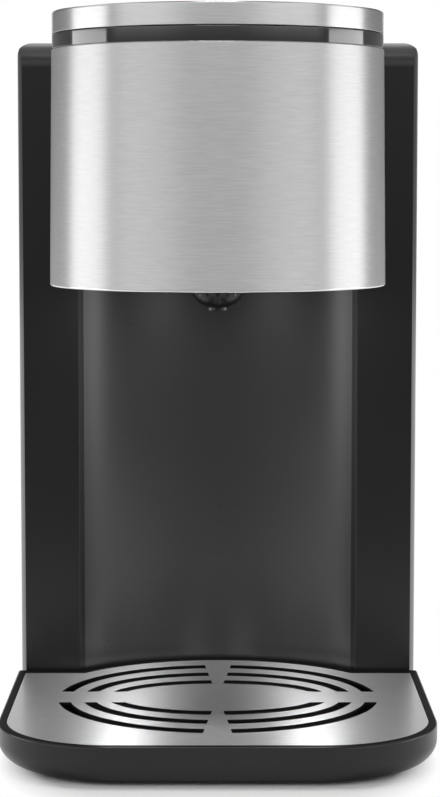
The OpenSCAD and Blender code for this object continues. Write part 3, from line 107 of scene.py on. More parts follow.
# Sides of the wide round shapes, and of the head's rings
WIDE_SIDES, HEAD_SIDES = 192, 220
# Nearness at which an edge counts as being at a level, and as being on a box's face
AT, ON_FACE = 0.01, 0.1
# Distance at which points become one: in a turned or swept shape, after a cut, and in metres in a piece
MERGE, CUT_MERGE, PLACED_MERGE = 1e-4, 1e-3, 1e-7


# Shapes, in millimetres until a piece is placed

def box(x0, x1, y0, y1, z0, z1):
    bm = bmesh.new()
    size = Vector((x1 - x0, y1 - y0, z1 - z0))
    middle = Vector((x0 + x1, y0 + y1, z0 + z1)) / 2
    bmesh.ops.create_cube(bm, size=1, matrix=Matrix.Translation(middle) @ Matrix.Diagonal((*size, 1)))
    return bm


def rod(x, y, z0, z1, r, top_r=None, sides=96):
    bm = bmesh.new()
    place = Matrix.Translation((x, y, (z0 + z1) / 2))
    bmesh.ops.create_cone(bm, cap_ends=True, segments=sides, radius1=r,
                          radius2=r if top_r is None else top_r, depth=z1 - z0, matrix=place)
    return bm


def turn_shape(bm, matrix):
    bmesh.ops.transform(bm, matrix=matrix, verts=bm.verts)
    return bm


def lathe(points, x=0.0, y=0.0, angle=360.0, start=0.0, steps=160):
    """Turned shape about an upright axis, from (radius, height) points that close or end on the axis."""
    bm = bmesh.new()
    verts = [bm.verts.new((r, 0, z)) for r, z in points]
    count = len(verts) - (points[0][0] == 0)
    edges = [bm.edges.new((verts[i], verts[(i + 1) % len(verts)])) for i in range(count)]
    whole = angle >= 360
    geom = verts + edges + ([] if whole else [bm.faces.new(verts)])
    first = Matrix.Rotation(math.radians(start), 3, "Z")
    bmesh.ops.rotate(bm, cent=(0, 0, 0), matrix=first, verts=bm.verts)
    bmesh.ops.spin(bm, geom=geom, cent=(0, 0, 0), axis=UP, dvec=(0, 0, 0),
                   angle=math.radians(angle), steps=steps, use_merge=whole, use_duplicate=False)
    bmesh.ops.remove_doubles(bm, verts=bm.verts, dist=MERGE)
    bmesh.ops.translate(bm, vec=(x, y, 0), verts=bm.verts)
    bmesh.ops.recalc_face_normals(bm, faces=bm.faces)
    return bm


def round_edges(bm, chosen, offset, segments=4):
    edges = [e for e in bm.edges if e.is_valid and chosen(e)]
    if edges:
        bmesh.ops.bevel(bm, geom=edges, offset=offset, offset_type="OFFSET", segments=segments,
                        profile=0.5, affect="EDGES", clamp_overlap=True, material=-1, loop_slide=True)
    return bm


def sharp(e, degrees=30):
    return len(e.link_faces) == 2 and e.calc_face_angle(0) > math.radians(degrees)


def middle_of(e):
    return (e.verts[0].co + e.verts[1].co) / 2


def upright(e):
    d = e.verts[1].co - e.verts[0].co
    return abs(d.z) > 0.99 * d.length


def rim(level, degrees=60):
    """Chooser of the sharp edges at one height."""
    return lambda e: abs(middle_of(e).z - level) < AT and sharp(e, degrees)


def as_object(bm, name):
    mesh = bpy.data.meshes.new(name)
    bm.to_mesh(mesh)
    bm.free()
    obj = bpy.data.objects.new(name, mesh)
    bpy.context.scene.collection.objects.link(obj)
    return obj


def evaluated(obj):
    """The object's mesh after its modifiers, or its bevel if it is a curve."""
    mesh = bpy.data.meshes.new_from_object(obj.evaluated_get(bpy.context.evaluated_depsgraph_get()))
    bm = bmesh.new()
    bm.from_mesh(mesh)
    bpy.data.meshes.remove(mesh)
    return bm


def combine(bm, other, operation):
    """Boolean of two closed shapes, which are used up."""
    bmesh.ops.recalc_face_normals(bm, faces=bm.faces)
    bmesh.ops.recalc_face_normals(other, faces=other.faces)
    base, tool = as_object(bm, "shape_base"), as_object(other, "shape_tool")
    step = base.modifiers.new("combine", "BOOLEAN")
    step.operation = operation
    step.solver = "EXACT"
    step.object = tool
    made = evaluated(base)
    bmesh.ops.remove_doubles(made, verts=made.verts, dist=CUT_MERGE)
    bmesh.ops.dissolve_degenerate(made, dist=CUT_MERGE, edges=made.edges)
    for obj in (base, tool):
        data = obj.data
        bpy.data.objects.remove(obj)
        bpy.data.meshes.remove(data)
    return made


def cut(bm, *others):
    for other in others:
        bm = combine(bm, other, "DIFFERENCE")
    return bm


def join(bm, *others):
    for other in others:
        bm = combine(bm, other, "UNION")
    return bm


def gather(*shapes):
    """One mesh of several shapes that stay apart."""
    bm = shapes[0]
    for other in shapes[1:]:
        mesh = bpy.data.meshes.new("shape_part")
        other.to_mesh(mesh)
        other.free()
        bm.from_mesh(mesh)
        bpy.data.meshes.remove(mesh)
    return bm


def piece(name, bm, body, material, nodes=(), angle=32):
    """Finished piece: placed in metres, with smooth faces between its sharp edges."""
    bmesh.ops.scale(bm, vec=(MM, MM, MM), verts=bm.verts)
    bmesh.ops.remove_doubles(bm, verts=bm.verts, dist=PLACED_MERGE)
    bmesh.ops.recalc_face_normals(bm, faces=bm.faces)
    obj = as_object(bm, name)
    obj.data.shade_smooth()
    obj.data.set_sharp_from_angle(angle=math.radians(angle))
    obj.data.materials.append(material)
    weighted = obj.modifiers.new("weighted", "WEIGHTED_NORMAL")
    weighted.keep_sharp = True
    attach(obj, body)
    if nodes:
        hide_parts(*nodes)
    return obj


# Materials

def new_material(name):
    material = bpy.data.materials.new(name)
    material.use_nodes = True
    return material, material.node_tree.nodes, material.node_tree.links


EVEN = (1, 1, 1)


def stretched_noise(nodes, links, scale, stretch, detail):
    place = nodes.new("ShaderNodeTexCoord")
    mapping = nodes.new("ShaderNodeMapping")
    mapping.inputs["Scale"].default_value = stretch
    noise = nodes.new("ShaderNodeTexNoise")
    noise.inputs["Scale"].default_value = scale
    noise.inputs["Detail"].default_value = detail
    links.new(place.outputs["Object"], mapping.inputs["Vector"])
    links.new(mapping.outputs["Vector"], noise.inputs["Vector"])
    return noise.outputs["Fac"]


def ranged(nodes, links, source, low, high):
    step = nodes.new("ShaderNodeMapRange")
    step.inputs["To Min"].default_value = low
    step.inputs["To Max"].default_value = high
    links.new(source, step.inputs["Value"])
    return step.outputs["Result"]


def tinted(nodes, links, source, dark, light):
    dark_at, light_at = 0.3, 0.7
    ramp = nodes.new("ShaderNodeValToRGB")
    for stop, position, colour in zip(ramp.color_ramp.elements, (dark_at, light_at), (dark, light)):
        stop.position = position
        stop.color = (*colour, 1)
    links.new(source, ramp.inputs["Fac"])
    return ramp.outputs["Color"]


def bumped(nodes, links, source, strength, distance):
    bump = nodes.new("ShaderNodeBump")
    bump.inputs["Strength"].default_value = strength
    bump.inputs["Distance"].default_value = distance
    links.new(source, bump.inputs["Height"])
    return bump.outputs["Normal"]


def finish_links(nodes, links, shader, tone, grain, colours, roughness, bump):
    """Feeds colour and roughness from one noise, and the bump from another."""
    links.new(tinted(nodes, links, tone, *colours), shader.inputs["Base Color"])
    links.new(ranged(nodes, links, tone, *roughness), shader.inputs["Roughness"])
    links.new(bumped(nodes, links, grain, *bump), shader.inputs["Normal"])


def moulded(name, dark, light, rough, grain=1500.0, strength=0.12, coat=0.0, specular=0.5):
    """Moulded plastic or rubber: fine grain, with slow changes of tone and gloss."""
    clouds, swing, grain_height = 22.0, 0.02, 0.00004
    material, nodes, links = new_material(name)
    shader = nodes["Principled BSDF"]
    slow = stretched_noise(nodes, links, clouds, EVEN, 4)
    fine = stretched_noise(nodes, links, grain, EVEN, 2)
    finish_links(nodes, links, shader, slow, fine, (dark, light), (rough - swing, rough + swing),
                 (strength, grain_height))
    shader.inputs["Coat Weight"].default_value = coat
    shader.inputs["Coat Roughness"].default_value = 0.08
    shader.inputs["Specular IOR Level"].default_value = specular
    return material


def brushed(name, dark, light, rough, stretch, axis="Z", scale=100.0, anisotropic=0.9, strength=0.1):
    """Brushed metal: fine scratches that run where stretch is small, and spread the light across them."""
    smoother, rougher, scratch_depth = 0.06, 0.07, 0.00003
    material, nodes, links = new_material(name)
    shader = nodes["Principled BSDF"]
    scratch = stretched_noise(nodes, links, scale, stretch, 6)
    finish_links(nodes, links, shader, scratch, scratch, (dark, light), (rough - smoother, rough + rougher),
                 (strength, scratch_depth))
    along = nodes.new("ShaderNodeTangent")
    along.direction_type = "RADIAL"
    along.axis = axis
    links.new(along.outputs["Tangent"], shader.inputs["Tangent"])
    shader.inputs["Metallic"].default_value = 1.0
    shader.inputs["Anisotropic"].default_value = anisotropic
    shader.inputs["Anisotropic Rotation"].default_value = 0.25
    return material


def clear_plastic(name, tint, rough):
    """Clear plastic, faintly uneven."""
    clouds, paler, rougher, strength, wave_height = 30.0, 1.04, 0.06, 0.03, 0.0002
    material, nodes, links = new_material(name)
    shader = nodes["Principled BSDF"]
    slow = stretched_noise(nodes, links, clouds, EVEN, 3)
    pale = tuple(c * paler for c in tint)
    finish_links(nodes, links, shader, slow, slow, (tint, pale), (rough, rough + rougher),
                 (strength, wave_height))
    shader.inputs["Transmission Weight"].default_value = 0.92
    shader.inputs["IOR"].default_value = 1.46
    return material


DEEP_BLACK = (0.003, 0.003, 0.0031), (0.004, 0.004, 0.0041)
ROUND_BRUSH = (1.2, 1.2, 25.0)
satin_black = moulded("satin_black", *DEEP_BLACK, 0.30, specular=0.42)
tower_black = moulded("tower_black", *DEEP_BLACK, 0.28, specular=0.45)
rim_black = moulded("rim_black", *DEEP_BLACK, 0.62, specular=0.12)
niche_black = moulded("niche_black", (0.004, 0.004, 0.0042), (0.006, 0.006, 0.0062), 0.28, specular=0.85)
gloss_black = moulded("gloss_black", (0.004, 0.004, 0.0045), (0.006, 0.006, 0.0065), 0.07,
                      grain=900.0, strength=0.02, coat=0.45, specular=0.95)
lens_black = moulded("lens_black", (0.004, 0.0045, 0.005), (0.006, 0.0065, 0.007), 0.08,
                     grain=700.0, strength=0.01, coat=0.8)
# Near-black for the plate's slot walls: painted shade inside the cuts, far darker than the steel those walls
# are.
slot_wall_shade = moulded("slot_wall_shade", (0.006, 0.006, 0.006), (0.010, 0.010, 0.010), 0.6, specular=0.1)
inner_grey = moulded("inner_grey", (0.09, 0.09, 0.10), (0.13, 0.13, 0.14), 0.5)
white_part = moulded("white_part", (0.62, 0.62, 0.60), (0.70, 0.70, 0.68), 0.42)
print_grey = moulded("print_grey", (0.50, 0.50, 0.51), (0.58, 0.58, 0.59), 0.5)
segment_grey = moulded("segment_grey", (0.020, 0.021, 0.022), (0.026, 0.027, 0.028), 0.25)
rubber = moulded("rubber", (0.010, 0.010, 0.010), (0.016, 0.016, 0.016), 0.7, grain=900.0, strength=0.3)
silicone = moulded("silicone", (0.60, 0.60, 0.57), (0.68, 0.68, 0.65), 0.35)
board_green = moulded("board_green", (0.015, 0.10, 0.04), (0.025, 0.14, 0.06), 0.3)
float_red = moulded("float_red", (0.42, 0.03, 0.025), (0.52, 0.045, 0.035), 0.3)
drum_steel = brushed("drum_steel", (0.58, 0.58, 0.585), (0.68, 0.68, 0.685), 0.45, ROUND_BRUSH)
# Steel for the drum's hem roll. It is smoother steel, which is the hem's own finish, and its lighter colour
# than the drum's steel is a painted highlight.
hem_highlight_steel = brushed("hem_highlight_steel", (0.80, 0.80, 0.805), (0.86, 0.86, 0.865), 0.18, ROUND_BRUSH,
                    anisotropic=0.3)
ring_steel = brushed("ring_steel", (0.56, 0.56, 0.565), (0.64, 0.64, 0.645), 0.32, ROUND_BRUSH)
plate_steel = brushed("plate_steel", (0.54, 0.54, 0.545), (0.66, 0.66, 0.665), 0.34, (1.0, 25.0, 8.0),
                      axis="Y", anisotropic=1.0)
cap_steel = brushed("cap_steel", (0.54, 0.54, 0.545), (0.64, 0.64, 0.645), 0.38, (1.2, 25.0, 6.0))
zinc_steel = brushed("zinc_steel", (0.46, 0.46, 0.465), (0.58, 0.58, 0.585), 0.3, (4.0, 4.0, 4.0),
                     anisotropic=0.2)
smoke_clear = clear_plastic("smoke_clear", (0.42, 0.45, 0.47), 0.06)


# Tower and niche

def pocket(extra, z0, z1):
    """Round space for the drum, which tapers as the drum does."""
    def radius(z):
        return DRUM_R_TOP + (DRUM_R_LOW - DRUM_R_TOP) * (DRUM_TOP - z) / (DRUM_TOP - DRUM_Z) + extra
    return rod(0, HEAD_Y, z0, z1, radius(z0), radius(z1), WIDE_SIDES)


def prism(outline, z0, z1):
    """Upright solid over a plan outline of (x, y) points."""
    bm = bmesh.new()
    face = bm.faces.new([bm.verts.new((x, y, z0)) for x, y in outline])
    made = bmesh.ops.extrude_face_region(bm, geom=[face])
    tops = [v for v in made["geom"] if isinstance(v, bmesh.types.BMVert)]
    bmesh.ops.translate(bm, vec=(0, 0, z1 - z0), verts=tops)
    bmesh.ops.recalc_face_normals(bm, faces=bm.faces)
    return bm


def tower_plan():
    """Plan whose front corners draw in along a wide arc, so that the sides show from the front."""
    arc_r, draw_in, steps = 45.0, 3.0, 10
    sweep_angle = math.acos(1 - draw_in / arc_r)
    start_y = TOWER_Y + arc_r * math.sin(sweep_angle)
    arc = []
    for i in range(steps + 1):
        a = sweep_angle * i / steps
        arc.append((SHELL_HALF - arc_r * (1 - math.cos(a)), start_y - arc_r * math.sin(a)))
    right = [(SHELL_HALF, TOWER_BACK_Y)] + arc
    return right + [(-x, y) for x, y in reversed(right)]


def tower_shape():
    roll, corner, beyond = 11.0, 7.5, 20.0
    niche_roll, niche_x_low, niche_x_high = 1.7, 55.0, 70.0
    inner_y, inner_top = TOWER_Y + WALL, TOWER_TOP - WALL

    def upper_side(e):
        return middle_of(e).z > TOWER_TOP - ON_FACE and abs(middle_of(e).x) > SHELL_HALF - ON_FACE

    def upper_front(front, top):
        return lambda e: middle_of(e).y < front + ON_FACE and middle_of(e).z > top - ON_FACE

    def niche_edge(e):
        m = middle_of(e)
        at_front = abs(m.y - TOWER_Y) < AT and niche_x_low < abs(m.x) < niche_x_high
        return at_front and upright(e) and m.z < NICHE_TOP

    bm = prism(tower_plan(), TOWER_Z, TOWER_TOP)
    back, low = TOWER_BACK_Y + beyond, TOWER_Z - beyond
    front_view = box(-SHELL_HALF, SHELL_HALF, TOWER_Y - beyond, back, low, TOWER_TOP)
    round_edges(front_view, upper_side, corner, 8)
    side_view = box(-SHELL_HALF - beyond, SHELL_HALF + beyond, TOWER_Y, back, low, TOWER_TOP)
    round_edges(side_view, upper_front(TOWER_Y, TOWER_TOP), roll, 14)
    bm = combine(combine(bm, front_view, "INTERSECT"), side_view, "INTERSECT")
    cavity = box(-TOWER_IN_HALF, TOWER_IN_HALF, inner_y, TOWER_BACK_Y + PAST, -PAST, inner_top)
    round_edges(cavity, upper_front(inner_y, inner_top), roll - WALL, 14)
    cavity = cut(cavity, pocket(POCKET_GAP + WALL, CEILING_TOP, TOWER_TOP + PAST))
    niche = rod(0, HEAD_Y, -PAST, NICHE_TOP, NICHE_R, sides=WIDE_SIDES)
    bm = cut(bm, niche, pocket(POCKET_GAP, NICHE_TOP - LAP, TOWER_TOP + PAST), cavity)
    return round_edges(bm, niche_edge, niche_roll, 5)


def niche_shape():
    outer, front = NICHE_R + WALL, TOWER_Y + WALL
    side_x, side_half = 66.0, 4.3
    profile = [(NICHE_R, BASE_TOP), (outer, BASE_TOP), (outer, CEILING_TOP), (CEILING_HOLE_R, CEILING_TOP),
               (CEILING_HOLE_R, NICHE_TOP), (NICHE_R, NICHE_TOP)]
    wall = lathe(profile, 0, HEAD_Y, steps=WIDE_SIDES)
    wall = cut(wall, box(-FAR, FAR, -FAR, front, -PAST, FAR))
    sides = [box(x - side_half, x + side_half, front, front + WALL, BASE_TOP, CEILING_TOP)
             for x in (-side_x, side_x)]
    return join(wall, *sides)


piece("tower_shell", tower_shape(), "housing", tower_black, ["tower_housing"])
piece("niche_wall", niche_shape(), "housing", niche_black, ["column_panel"])


# Drip tray and its plate

def front_corner(e):
    return upright(e) and middle_of(e).y < HEAD_Y


def tray_plan(side, back, z0, z1):
    bm = box(-TRAY_HALF + side, TRAY_HALF - side, TRAY_FRONT_Y + side, TRAY_BACK_Y - back, z0, z1)
    round_edges(bm, front_corner, TRAY_CORNER_R - side, 28)
    return join(bm, rod(0, HEAD_Y, z0, z1, TRAY_NICHE_R - back, sides=WIDE_SIDES))


def tray_block():
    """The lower edge rolls under, far at the sides and little at the front."""
    side_roll, front_roll, steps = 7.5, 1.0, 12
    bm = box(-TRAY_HALF, TRAY_HALF, TRAY_FRONT_Y, TRAY_BACK_Y, TRAY_Z, TRAY_TOP)
    round_edges(bm, front_corner, TRAY_CORNER_R, 28)
    for i in range(1, steps + 1):
        level = TRAY_Z + side_roll * (1 - math.cos(math.pi / 2 * i / steps))
        whole = bm.verts[:] + bm.edges[:] + bm.faces[:]
        bmesh.ops.bisect_plane(bm, geom=whole, dist=1e-5, plane_co=(0, 0, level), plane_no=UP)

    def drawn_in(roll, v):
        left = min(max(roll - v.co.z + TRAY_Z, 0), roll)
        return roll - math.sqrt(roll * roll - left * left)

    for v in bm.verts:
        v.co.x *= 1 - drawn_in(side_roll, v) / TRAY_HALF
        share = 1 - drawn_in(front_roll, v) / (TRAY_BACK_Y - TRAY_FRONT_Y)
        v.co.y = TRAY_BACK_Y + share * (v.co.y - TRAY_BACK_Y)
    return bm


def tray_shape():
    top_roll, inner_roll, back_from = 1.1, 0.4, HEAD_Y + 30
    at_top = rim(TRAY_TOP, 30)
    bm = tray_block()
    round_edges(bm, lambda e: at_top(e) and middle_of(e).y < TRAY_BACK_Y - ON_FACE, top_roll, 4)
    back = rod(0, HEAD_Y, TRAY_Z, TRAY_TOP, TRAY_NICHE_R, sides=WIDE_SIDES)
    bm = join(bm, combine(back, box(-FAR, FAR, back_from, FAR, 0, FAR), "INTERSECT"))
    bm = cut(bm, tray_plan(RIM_W, RIM_BACK_W, GRID_Z, TRAY_TOP + PAST),
             tray_plan(RIM_W + LEDGE_W, RIM_BACK_W + LEDGE_W, TRAY_FLOOR_Z, TRAY_TOP + PAST),
             box(-CHANNEL_HALF, CHANNEL_HALF, CHANNEL_Y, FAR, -PAST, CHANNEL_TOP))
    round_edges(bm, rim(TRAY_TOP), inner_roll, 3)
    level, below_top = 0.9, 0.2
    bm.normal_update()
    for face in bm.faces:
        at_rim = face.calc_center_median().z > TRAY_TOP - below_top
        face.material_index = int(at_rim and face.normal.z > level)
    return bm


def slot_tool(side, deep):
    """Four slots of one ring."""
    z0, z1, steps = GRID_Z - 2, GRID_TOP + 2, 240

    def oval(a, b, more):
        turns = [2 * math.pi * i / steps for i in range(steps)]
        return prism([(a * math.cos(t), HEAD_Y + b * math.sin(t)) for t in turns], z0 - more, z1 + more)

    bm = cut(oval(side + SLOT_W / 2, deep + SLOT_DEEP_W / 2, 0),
             oval(side - SLOT_W / 2, deep - SLOT_DEEP_W / 2, LAP),
             box(-FAR, FAR, HEAD_Y - SLOT_BAR / 2, HEAD_Y + SLOT_BAR / 2, z0 - LAP, z1 + LAP))
    half = 2 * deep * math.tan(math.radians(SLOT_GAP_ANGLE / 2))
    for end in (-2 * deep, 2 * deep):
        wedge = [(0, HEAD_Y), (half, HEAD_Y + end), (-half, HEAD_Y + end)]
        bm = cut(bm, prism(wedge, z0 - LAP, z1 + LAP))
    return bm


def plate_shape():
    edge_roll, steep = 0.22, 0.3
    slots_r = SLOT_RINGS[-1][0] + SLOT_W
    bm = tray_plan(RIM_W + GRID_GAP, RIM_BACK_W + GRID_GAP, GRID_Z, GRID_TOP)
    bm = cut(bm, *[slot_tool(side, deep) for side, deep in SLOT_RINGS])
    round_edges(bm, rim(GRID_TOP), edge_roll, 3)
    # Faces of the slot walls take the near-black second material: painted shade inside the slots.
    bm.normal_update()
    for face in bm.faces:
        centre = face.calc_center_median()
        inside = math.hypot(centre.x, centre.y - HEAD_Y) < slots_r
        face.material_index = int(inside and abs(face.normal.z) < steep)
    return bm


tray = piece("tray", tray_shape(), "tray", satin_black, ["drip_tray"])
tray.data.materials.append(rim_black)
plate = piece("plate", plate_shape(), "grid", plate_steel, ["drip_grid"])
# Second material: the near-black painted shade on the slot walls.
plate.data.materials.append(slot_wall_shade)


# Head

def drum_shape():
    gap = math.degrees(math.asin(SHELL_GAP_HALF / DRUM_R_TOP))
    lip, lip_taper, hem, steps = 0.35, 0.004, 0.7, 5
    turns = [math.pi / 2 * i / steps for i in range(steps + 1)]
    points = [(DRUM_R_LOW - hem * (1 - math.sin(t)), DRUM_Z + hem * (1 - math.cos(t))) for t in turns]
    points += [(DRUM_R_TOP + lip_taper, DRUM_TOP - lip), (DRUM_R_TOP - lip, DRUM_TOP),
               (DRUM_R_TOP - SKIN, DRUM_TOP), (DRUM_R_LOW - SKIN, DRUM_Z)]
    bm = lathe(points, 0, HEAD_Y, 360 - 2 * gap, 90 + gap, HEAD_SIDES)
    # Downward-facing faces of the hem roll take the second material, a lighter steel: a painted highlight
    # along the drum's lower edge.
    level, steep = -0.99, -0.05
    bm.normal_update()
    for face in bm.faces:
        low = face.calc_center_median().z < DRUM_Z + hem
        face.material_index = int(low and level < face.normal.z < steep)
    return bm


def ring_shape():
    top_roll, low_roll, same_r = 0.9, 0.3, 0.05
    points = [(RING_IN_R, RING_TOP), (RING_R, RING_TOP), (RING_R, RING_Z), (LIP_IN_R, RING_Z),
              (LIP_IN_R, LIP_TOP), (RING_IN_R, LIP_TOP)]
    bm = lathe(points, 0, HEAD_Y, steps=HEAD_SIDES)

    def top_edge(e):
        a, b = (math.hypot(v.co.x, v.co.y - HEAD_Y) for v in e.verts)
        return all(abs(v.co.z - RING_TOP) < AT for v in e.verts) and abs(a - b) < same_r

    round_edges(bm, top_edge, top_roll, 6)
    return round_edges(bm, rim(RING_Z), low_roll, 3)


def band_shape():
    edge_roll = 0.35
    points = [(BAND_IN_R, DRUM_TOP), (BAND_R, DRUM_TOP), (BAND_R, BAND_TOP), (BAND_IN_R, BAND_TOP)]
    bm = lathe(points, 0, HEAD_Y, steps=HEAD_SIDES)
    return round_edges(bm, lambda e: sharp(e, 60), edge_roll, 3)


def under_shape():
    edge_roll = 0.5
    bm = cut(rod(0, HEAD_Y, UNDER_Z, UNDER_TOP, UNDER_R, sides=WIDE_SIDES),
             rod(0, HEAD_Y, UNDER_Z - PAST, UNDER_TOP + PAST, NECK_R + RUN_GAP))
    return round_edges(bm, rim(UNDER_Z), edge_roll, 3)


def nozzle_shape():
    steps, lip_edge, lip_gap = 14, 0.3, 0.05
    turns = [math.radians(90 * i / steps) for i in range(steps + 1)]
    dome = [(NOZZLE_FLAT + NOZZLE_DEPTH * math.cos(t), UNDER_Z - NOZZLE_DEPTH * math.sin(t)) for t in turns]
    lip_r = OUTLET_R + OUTLET_LIP
    lip_z = UNDER_Z - NOZZLE_DEPTH - OUTLET_LIP_H
    dome = [p for p in dome if p[0] > lip_r + lip_gap]
    points = [(NECK_BORE_R, NECK_TOP), (NECK_R, NECK_TOP), (NECK_R, UNDER_Z)] + dome + [
        (lip_r, dome[-1][1] - lip_edge), (lip_r, lip_z + lip_edge), (lip_r - lip_edge, lip_z),
        (OUTLET_R, lip_z), (OUTLET_R, UNDER_Z), (NECK_BORE_R, UNDER_Z)]
    bm = lathe(points, 0, HEAD_Y, steps=160)
    grooves, width, depth, below = 16, 1.3, 1.2, 1.2
    axis = Matrix.Translation((0, HEAD_Y, 0))
    for i in range(grooves):
        tool = box(NOZZLE_R - depth, NOZZLE_R + PAST, -width / 2, width / 2, UNDER_Z - NOZZLE_DEPTH,
                   UNDER_Z - below)
        turn_shape(tool, axis @ Matrix.Rotation(2 * math.pi * i / grooves, 4, "Z"))
        bm = cut(bm, tool)
    return bm


drum = piece("drum", drum_shape(), "housing", drum_steel, ["head_shell"])
# Second material: the lighter steel of the painted highlight on the hem.
drum.data.materials.append(hem_highlight_steel)
piece("gloss_band", band_shape(), "housing", gloss_black, ["light_band"])
piece("ring_dial", ring_shape(), "dial", ring_steel, ["dial_ring"])
piece("head_floor", under_shape(), "housing", satin_black, ["head_underside"])
piece("nozzle", nozzle_shape(), "housing", tower_black, ["outlet_nozzle"])


# Controls on the head's top

def button_spot(i):
    a = math.radians(BUTTON_START + BUTTON_STEP * i)
    return BUTTON_RING_R * math.cos(a), HEAD_Y + BUTTON_RING_R * math.sin(a)


def panel_shape():
    edge_roll = 0.25
    z0, z1 = PANEL_Z - PAST, PANEL_TOP + PAST
    hw, hd = DISPLAY_W / 2, DISPLAY_D / 2
    tools = [rod(0, HEAD_Y, z0, z1, START_R + RUN_GAP)]
    tools += [rod(*button_spot(i), z0, z1, SMALL_R + RUN_GAP) for i in range(4)]
    tools.append(box(-hw + DISPLAY_LEDGE, hw - DISPLAY_LEDGE, DISPLAY_Y - hd + DISPLAY_LEDGE,
                     DISPLAY_Y + hd - DISPLAY_LEDGE, z0, z1))
    tools.append(box(-hw, hw, DISPLAY_Y - hd, DISPLAY_Y + hd, PANEL_TOP - DISPLAY_T, z1))
    bm = cut(rod(0, HEAD_Y, PANEL_Z, PANEL_TOP, PANEL_R, sides=WIDE_SIDES), *tools)
    return round_edges(bm, rim(PANEL_TOP), edge_roll, 3)


def button_shape(x, y, r, stem_r, dish):
    """Key with a dished top and a rounded edge, on a collar and a stem."""
    points = [(0, BUTTON_TOP - dish), (r * 0.6, BUTTON_TOP - dish * 0.7), (r - 1.0, BUTTON_TOP - dish * 0.1),
              (r - 0.5, BUTTON_TOP), (r - 0.18, BUTTON_TOP - 0.1), (r, BUTTON_TOP - 0.4), (r, COLLAR_TOP),
              (r + COLLAR_W, COLLAR_TOP), (r + COLLAR_W, BUTTON_LOW), (stem_r, BUTTON_LOW),
              (stem_r, STEM_Z), (0, STEM_Z)]
    return lathe(points, x, y, steps=96)


def window_shape():
    edge_roll = 0.25
    hw, hd = DISPLAY_W / 2 - RUN_GAP, DISPLAY_D / 2 - RUN_GAP
    bm = box(-hw, hw, DISPLAY_Y - hd, DISPLAY_Y + hd, PANEL_TOP - DISPLAY_T, PANEL_TOP)
    return round_edges(bm, rim(PANEL_TOP), edge_roll, 3)


piece("panel", panel_shape(), "housing", gloss_black, ["control_panel"])
piece("window", window_shape(), "housing", lens_black, ["display_window"])
piece("start_key", button_shape(0, HEAD_Y, START_R, START_STEM_R, START_DISH), "start",
      cap_steel, ["start_button"])
for number, body in enumerate(("power", "temperature", "volume", "lock")):
    piece(body + "_key", button_shape(*button_spot(number), SMALL_R, SMALL_STEM_R, SMALL_DISH), body,
          satin_black, [body + "_button"])


# Marks on the keys and the display, each from z0 to z1 and drawn about its own middle

def mark(name, bm, body, slot, material, x=0.0, y=HEAD_Y):
    bmesh.ops.translate(bm, vec=(x, y, 0), verts=bm.verts)
    piece(name, bm, body, material)


def power_sign(z0, z1):
    arc = lathe([(2.1, z0), (2.6, z0), (2.6, z1), (2.1, z1)], angle=290, start=125, steps=48)
    return gather(arc, box(-0.26, 0.26, 0.5, 3.0, z0, z1))


def warmth_sign(z0, z1):
    tube = join(rod(-0.5, -1.6, z0, z1, 1.2, sides=48), box(-1.0, 0.0, -1.6, 2.3, z0, z1),
                rod(-0.5, 2.3, z0, z1, 0.5, sides=32))
    return gather(tube, *[box(0.7, 1.7, v - 0.2, v + 0.2, z0, z1) for v in (0.2, 1.2, 2.2)])


def cup_sign(z0, z1):
    cup = cut(prism([(-2.0, 2.2), (-1.4, -2.3), (1.4, -2.3), (2.0, 2.2)], z0, z1),
              prism([(-1.6, 3.0), (-1.0, -1.85), (1.0, -1.85), (1.6, 3.0)], z0 - LAP, z1 + LAP))
    return gather(cup, box(-0.9, 0.9, 0.0, 0.4, z0, z1))


def lock_sign(z0, z1):
    bow = lathe([(0.95, z0), (1.4, z0), (1.4, z1), (0.95, z1)], y=0.6, angle=180, steps=32)
    return gather(box(-1.8, 1.8, -2.3, 0.5, z0, z1), bow)


def drop_sign(z0, z1):
    r, tip, middle = 3.0, 6.6, -1.4
    lean = math.acos(r / tip)
    x, y = r * math.sin(lean), r * math.cos(lean) + middle
    drop = prism([(0, tip + middle), (x, y), (0, middle), (-x, y)], z0, z1)
    return join(drop, rod(0, middle, z0, z1, r, sides=64))


def digit_sign(x, z0, z1):
    """Seven bars of one digit."""
    thick, wide, tall = 0.4, 2.0, 1.7
    end, side, middle = 4.4, 2.7, 2.2
    bars = [box(x - wide, x + wide, v - thick, v + thick, z0, z1) for v in (-end, 0, end)]
    bars += [box(x + u - thick, x + u + thick, v - tall, v + tall, z0, z1)
             for u in (-side, side) for v in (-middle, middle)]
    return gather(*bars)


MARK_SUNK, SIGN_PROUD, DROP_PROUD = 0.1, 0.1, 0.14
DIGIT_HALF, DIGIT_PITCH = 0.04, 10
SMALL_FACE, START_FACE = BUTTON_TOP - SMALL_DISH, BUTTON_TOP - START_DISH
SIGNS = (("power", power_sign), ("temperature", warmth_sign), ("volume", cup_sign), ("lock", lock_sign))
for number, (body, sign) in enumerate(SIGNS):
    mark(body + "_mark", sign(SMALL_FACE - MARK_SUNK, SMALL_FACE + SIGN_PROUD), body, "white_plastic",
         print_grey, *button_spot(number))
mark("start_mark", drop_sign(START_FACE - MARK_SUNK, START_FACE + DROP_PROUD), "start", "gloss_black",
     gloss_black)
digits = gather(*[digit_sign(x, PANEL_TOP - DIGIT_HALF, PANEL_TOP + DIGIT_HALF)
                  for x in (-DIGIT_PITCH, 0, DIGIT_PITCH)])
mark("display_digits", digits, "housing", "display_lens", segment_grey, 0, DISPLAY_Y)


# Tank, lid and dock

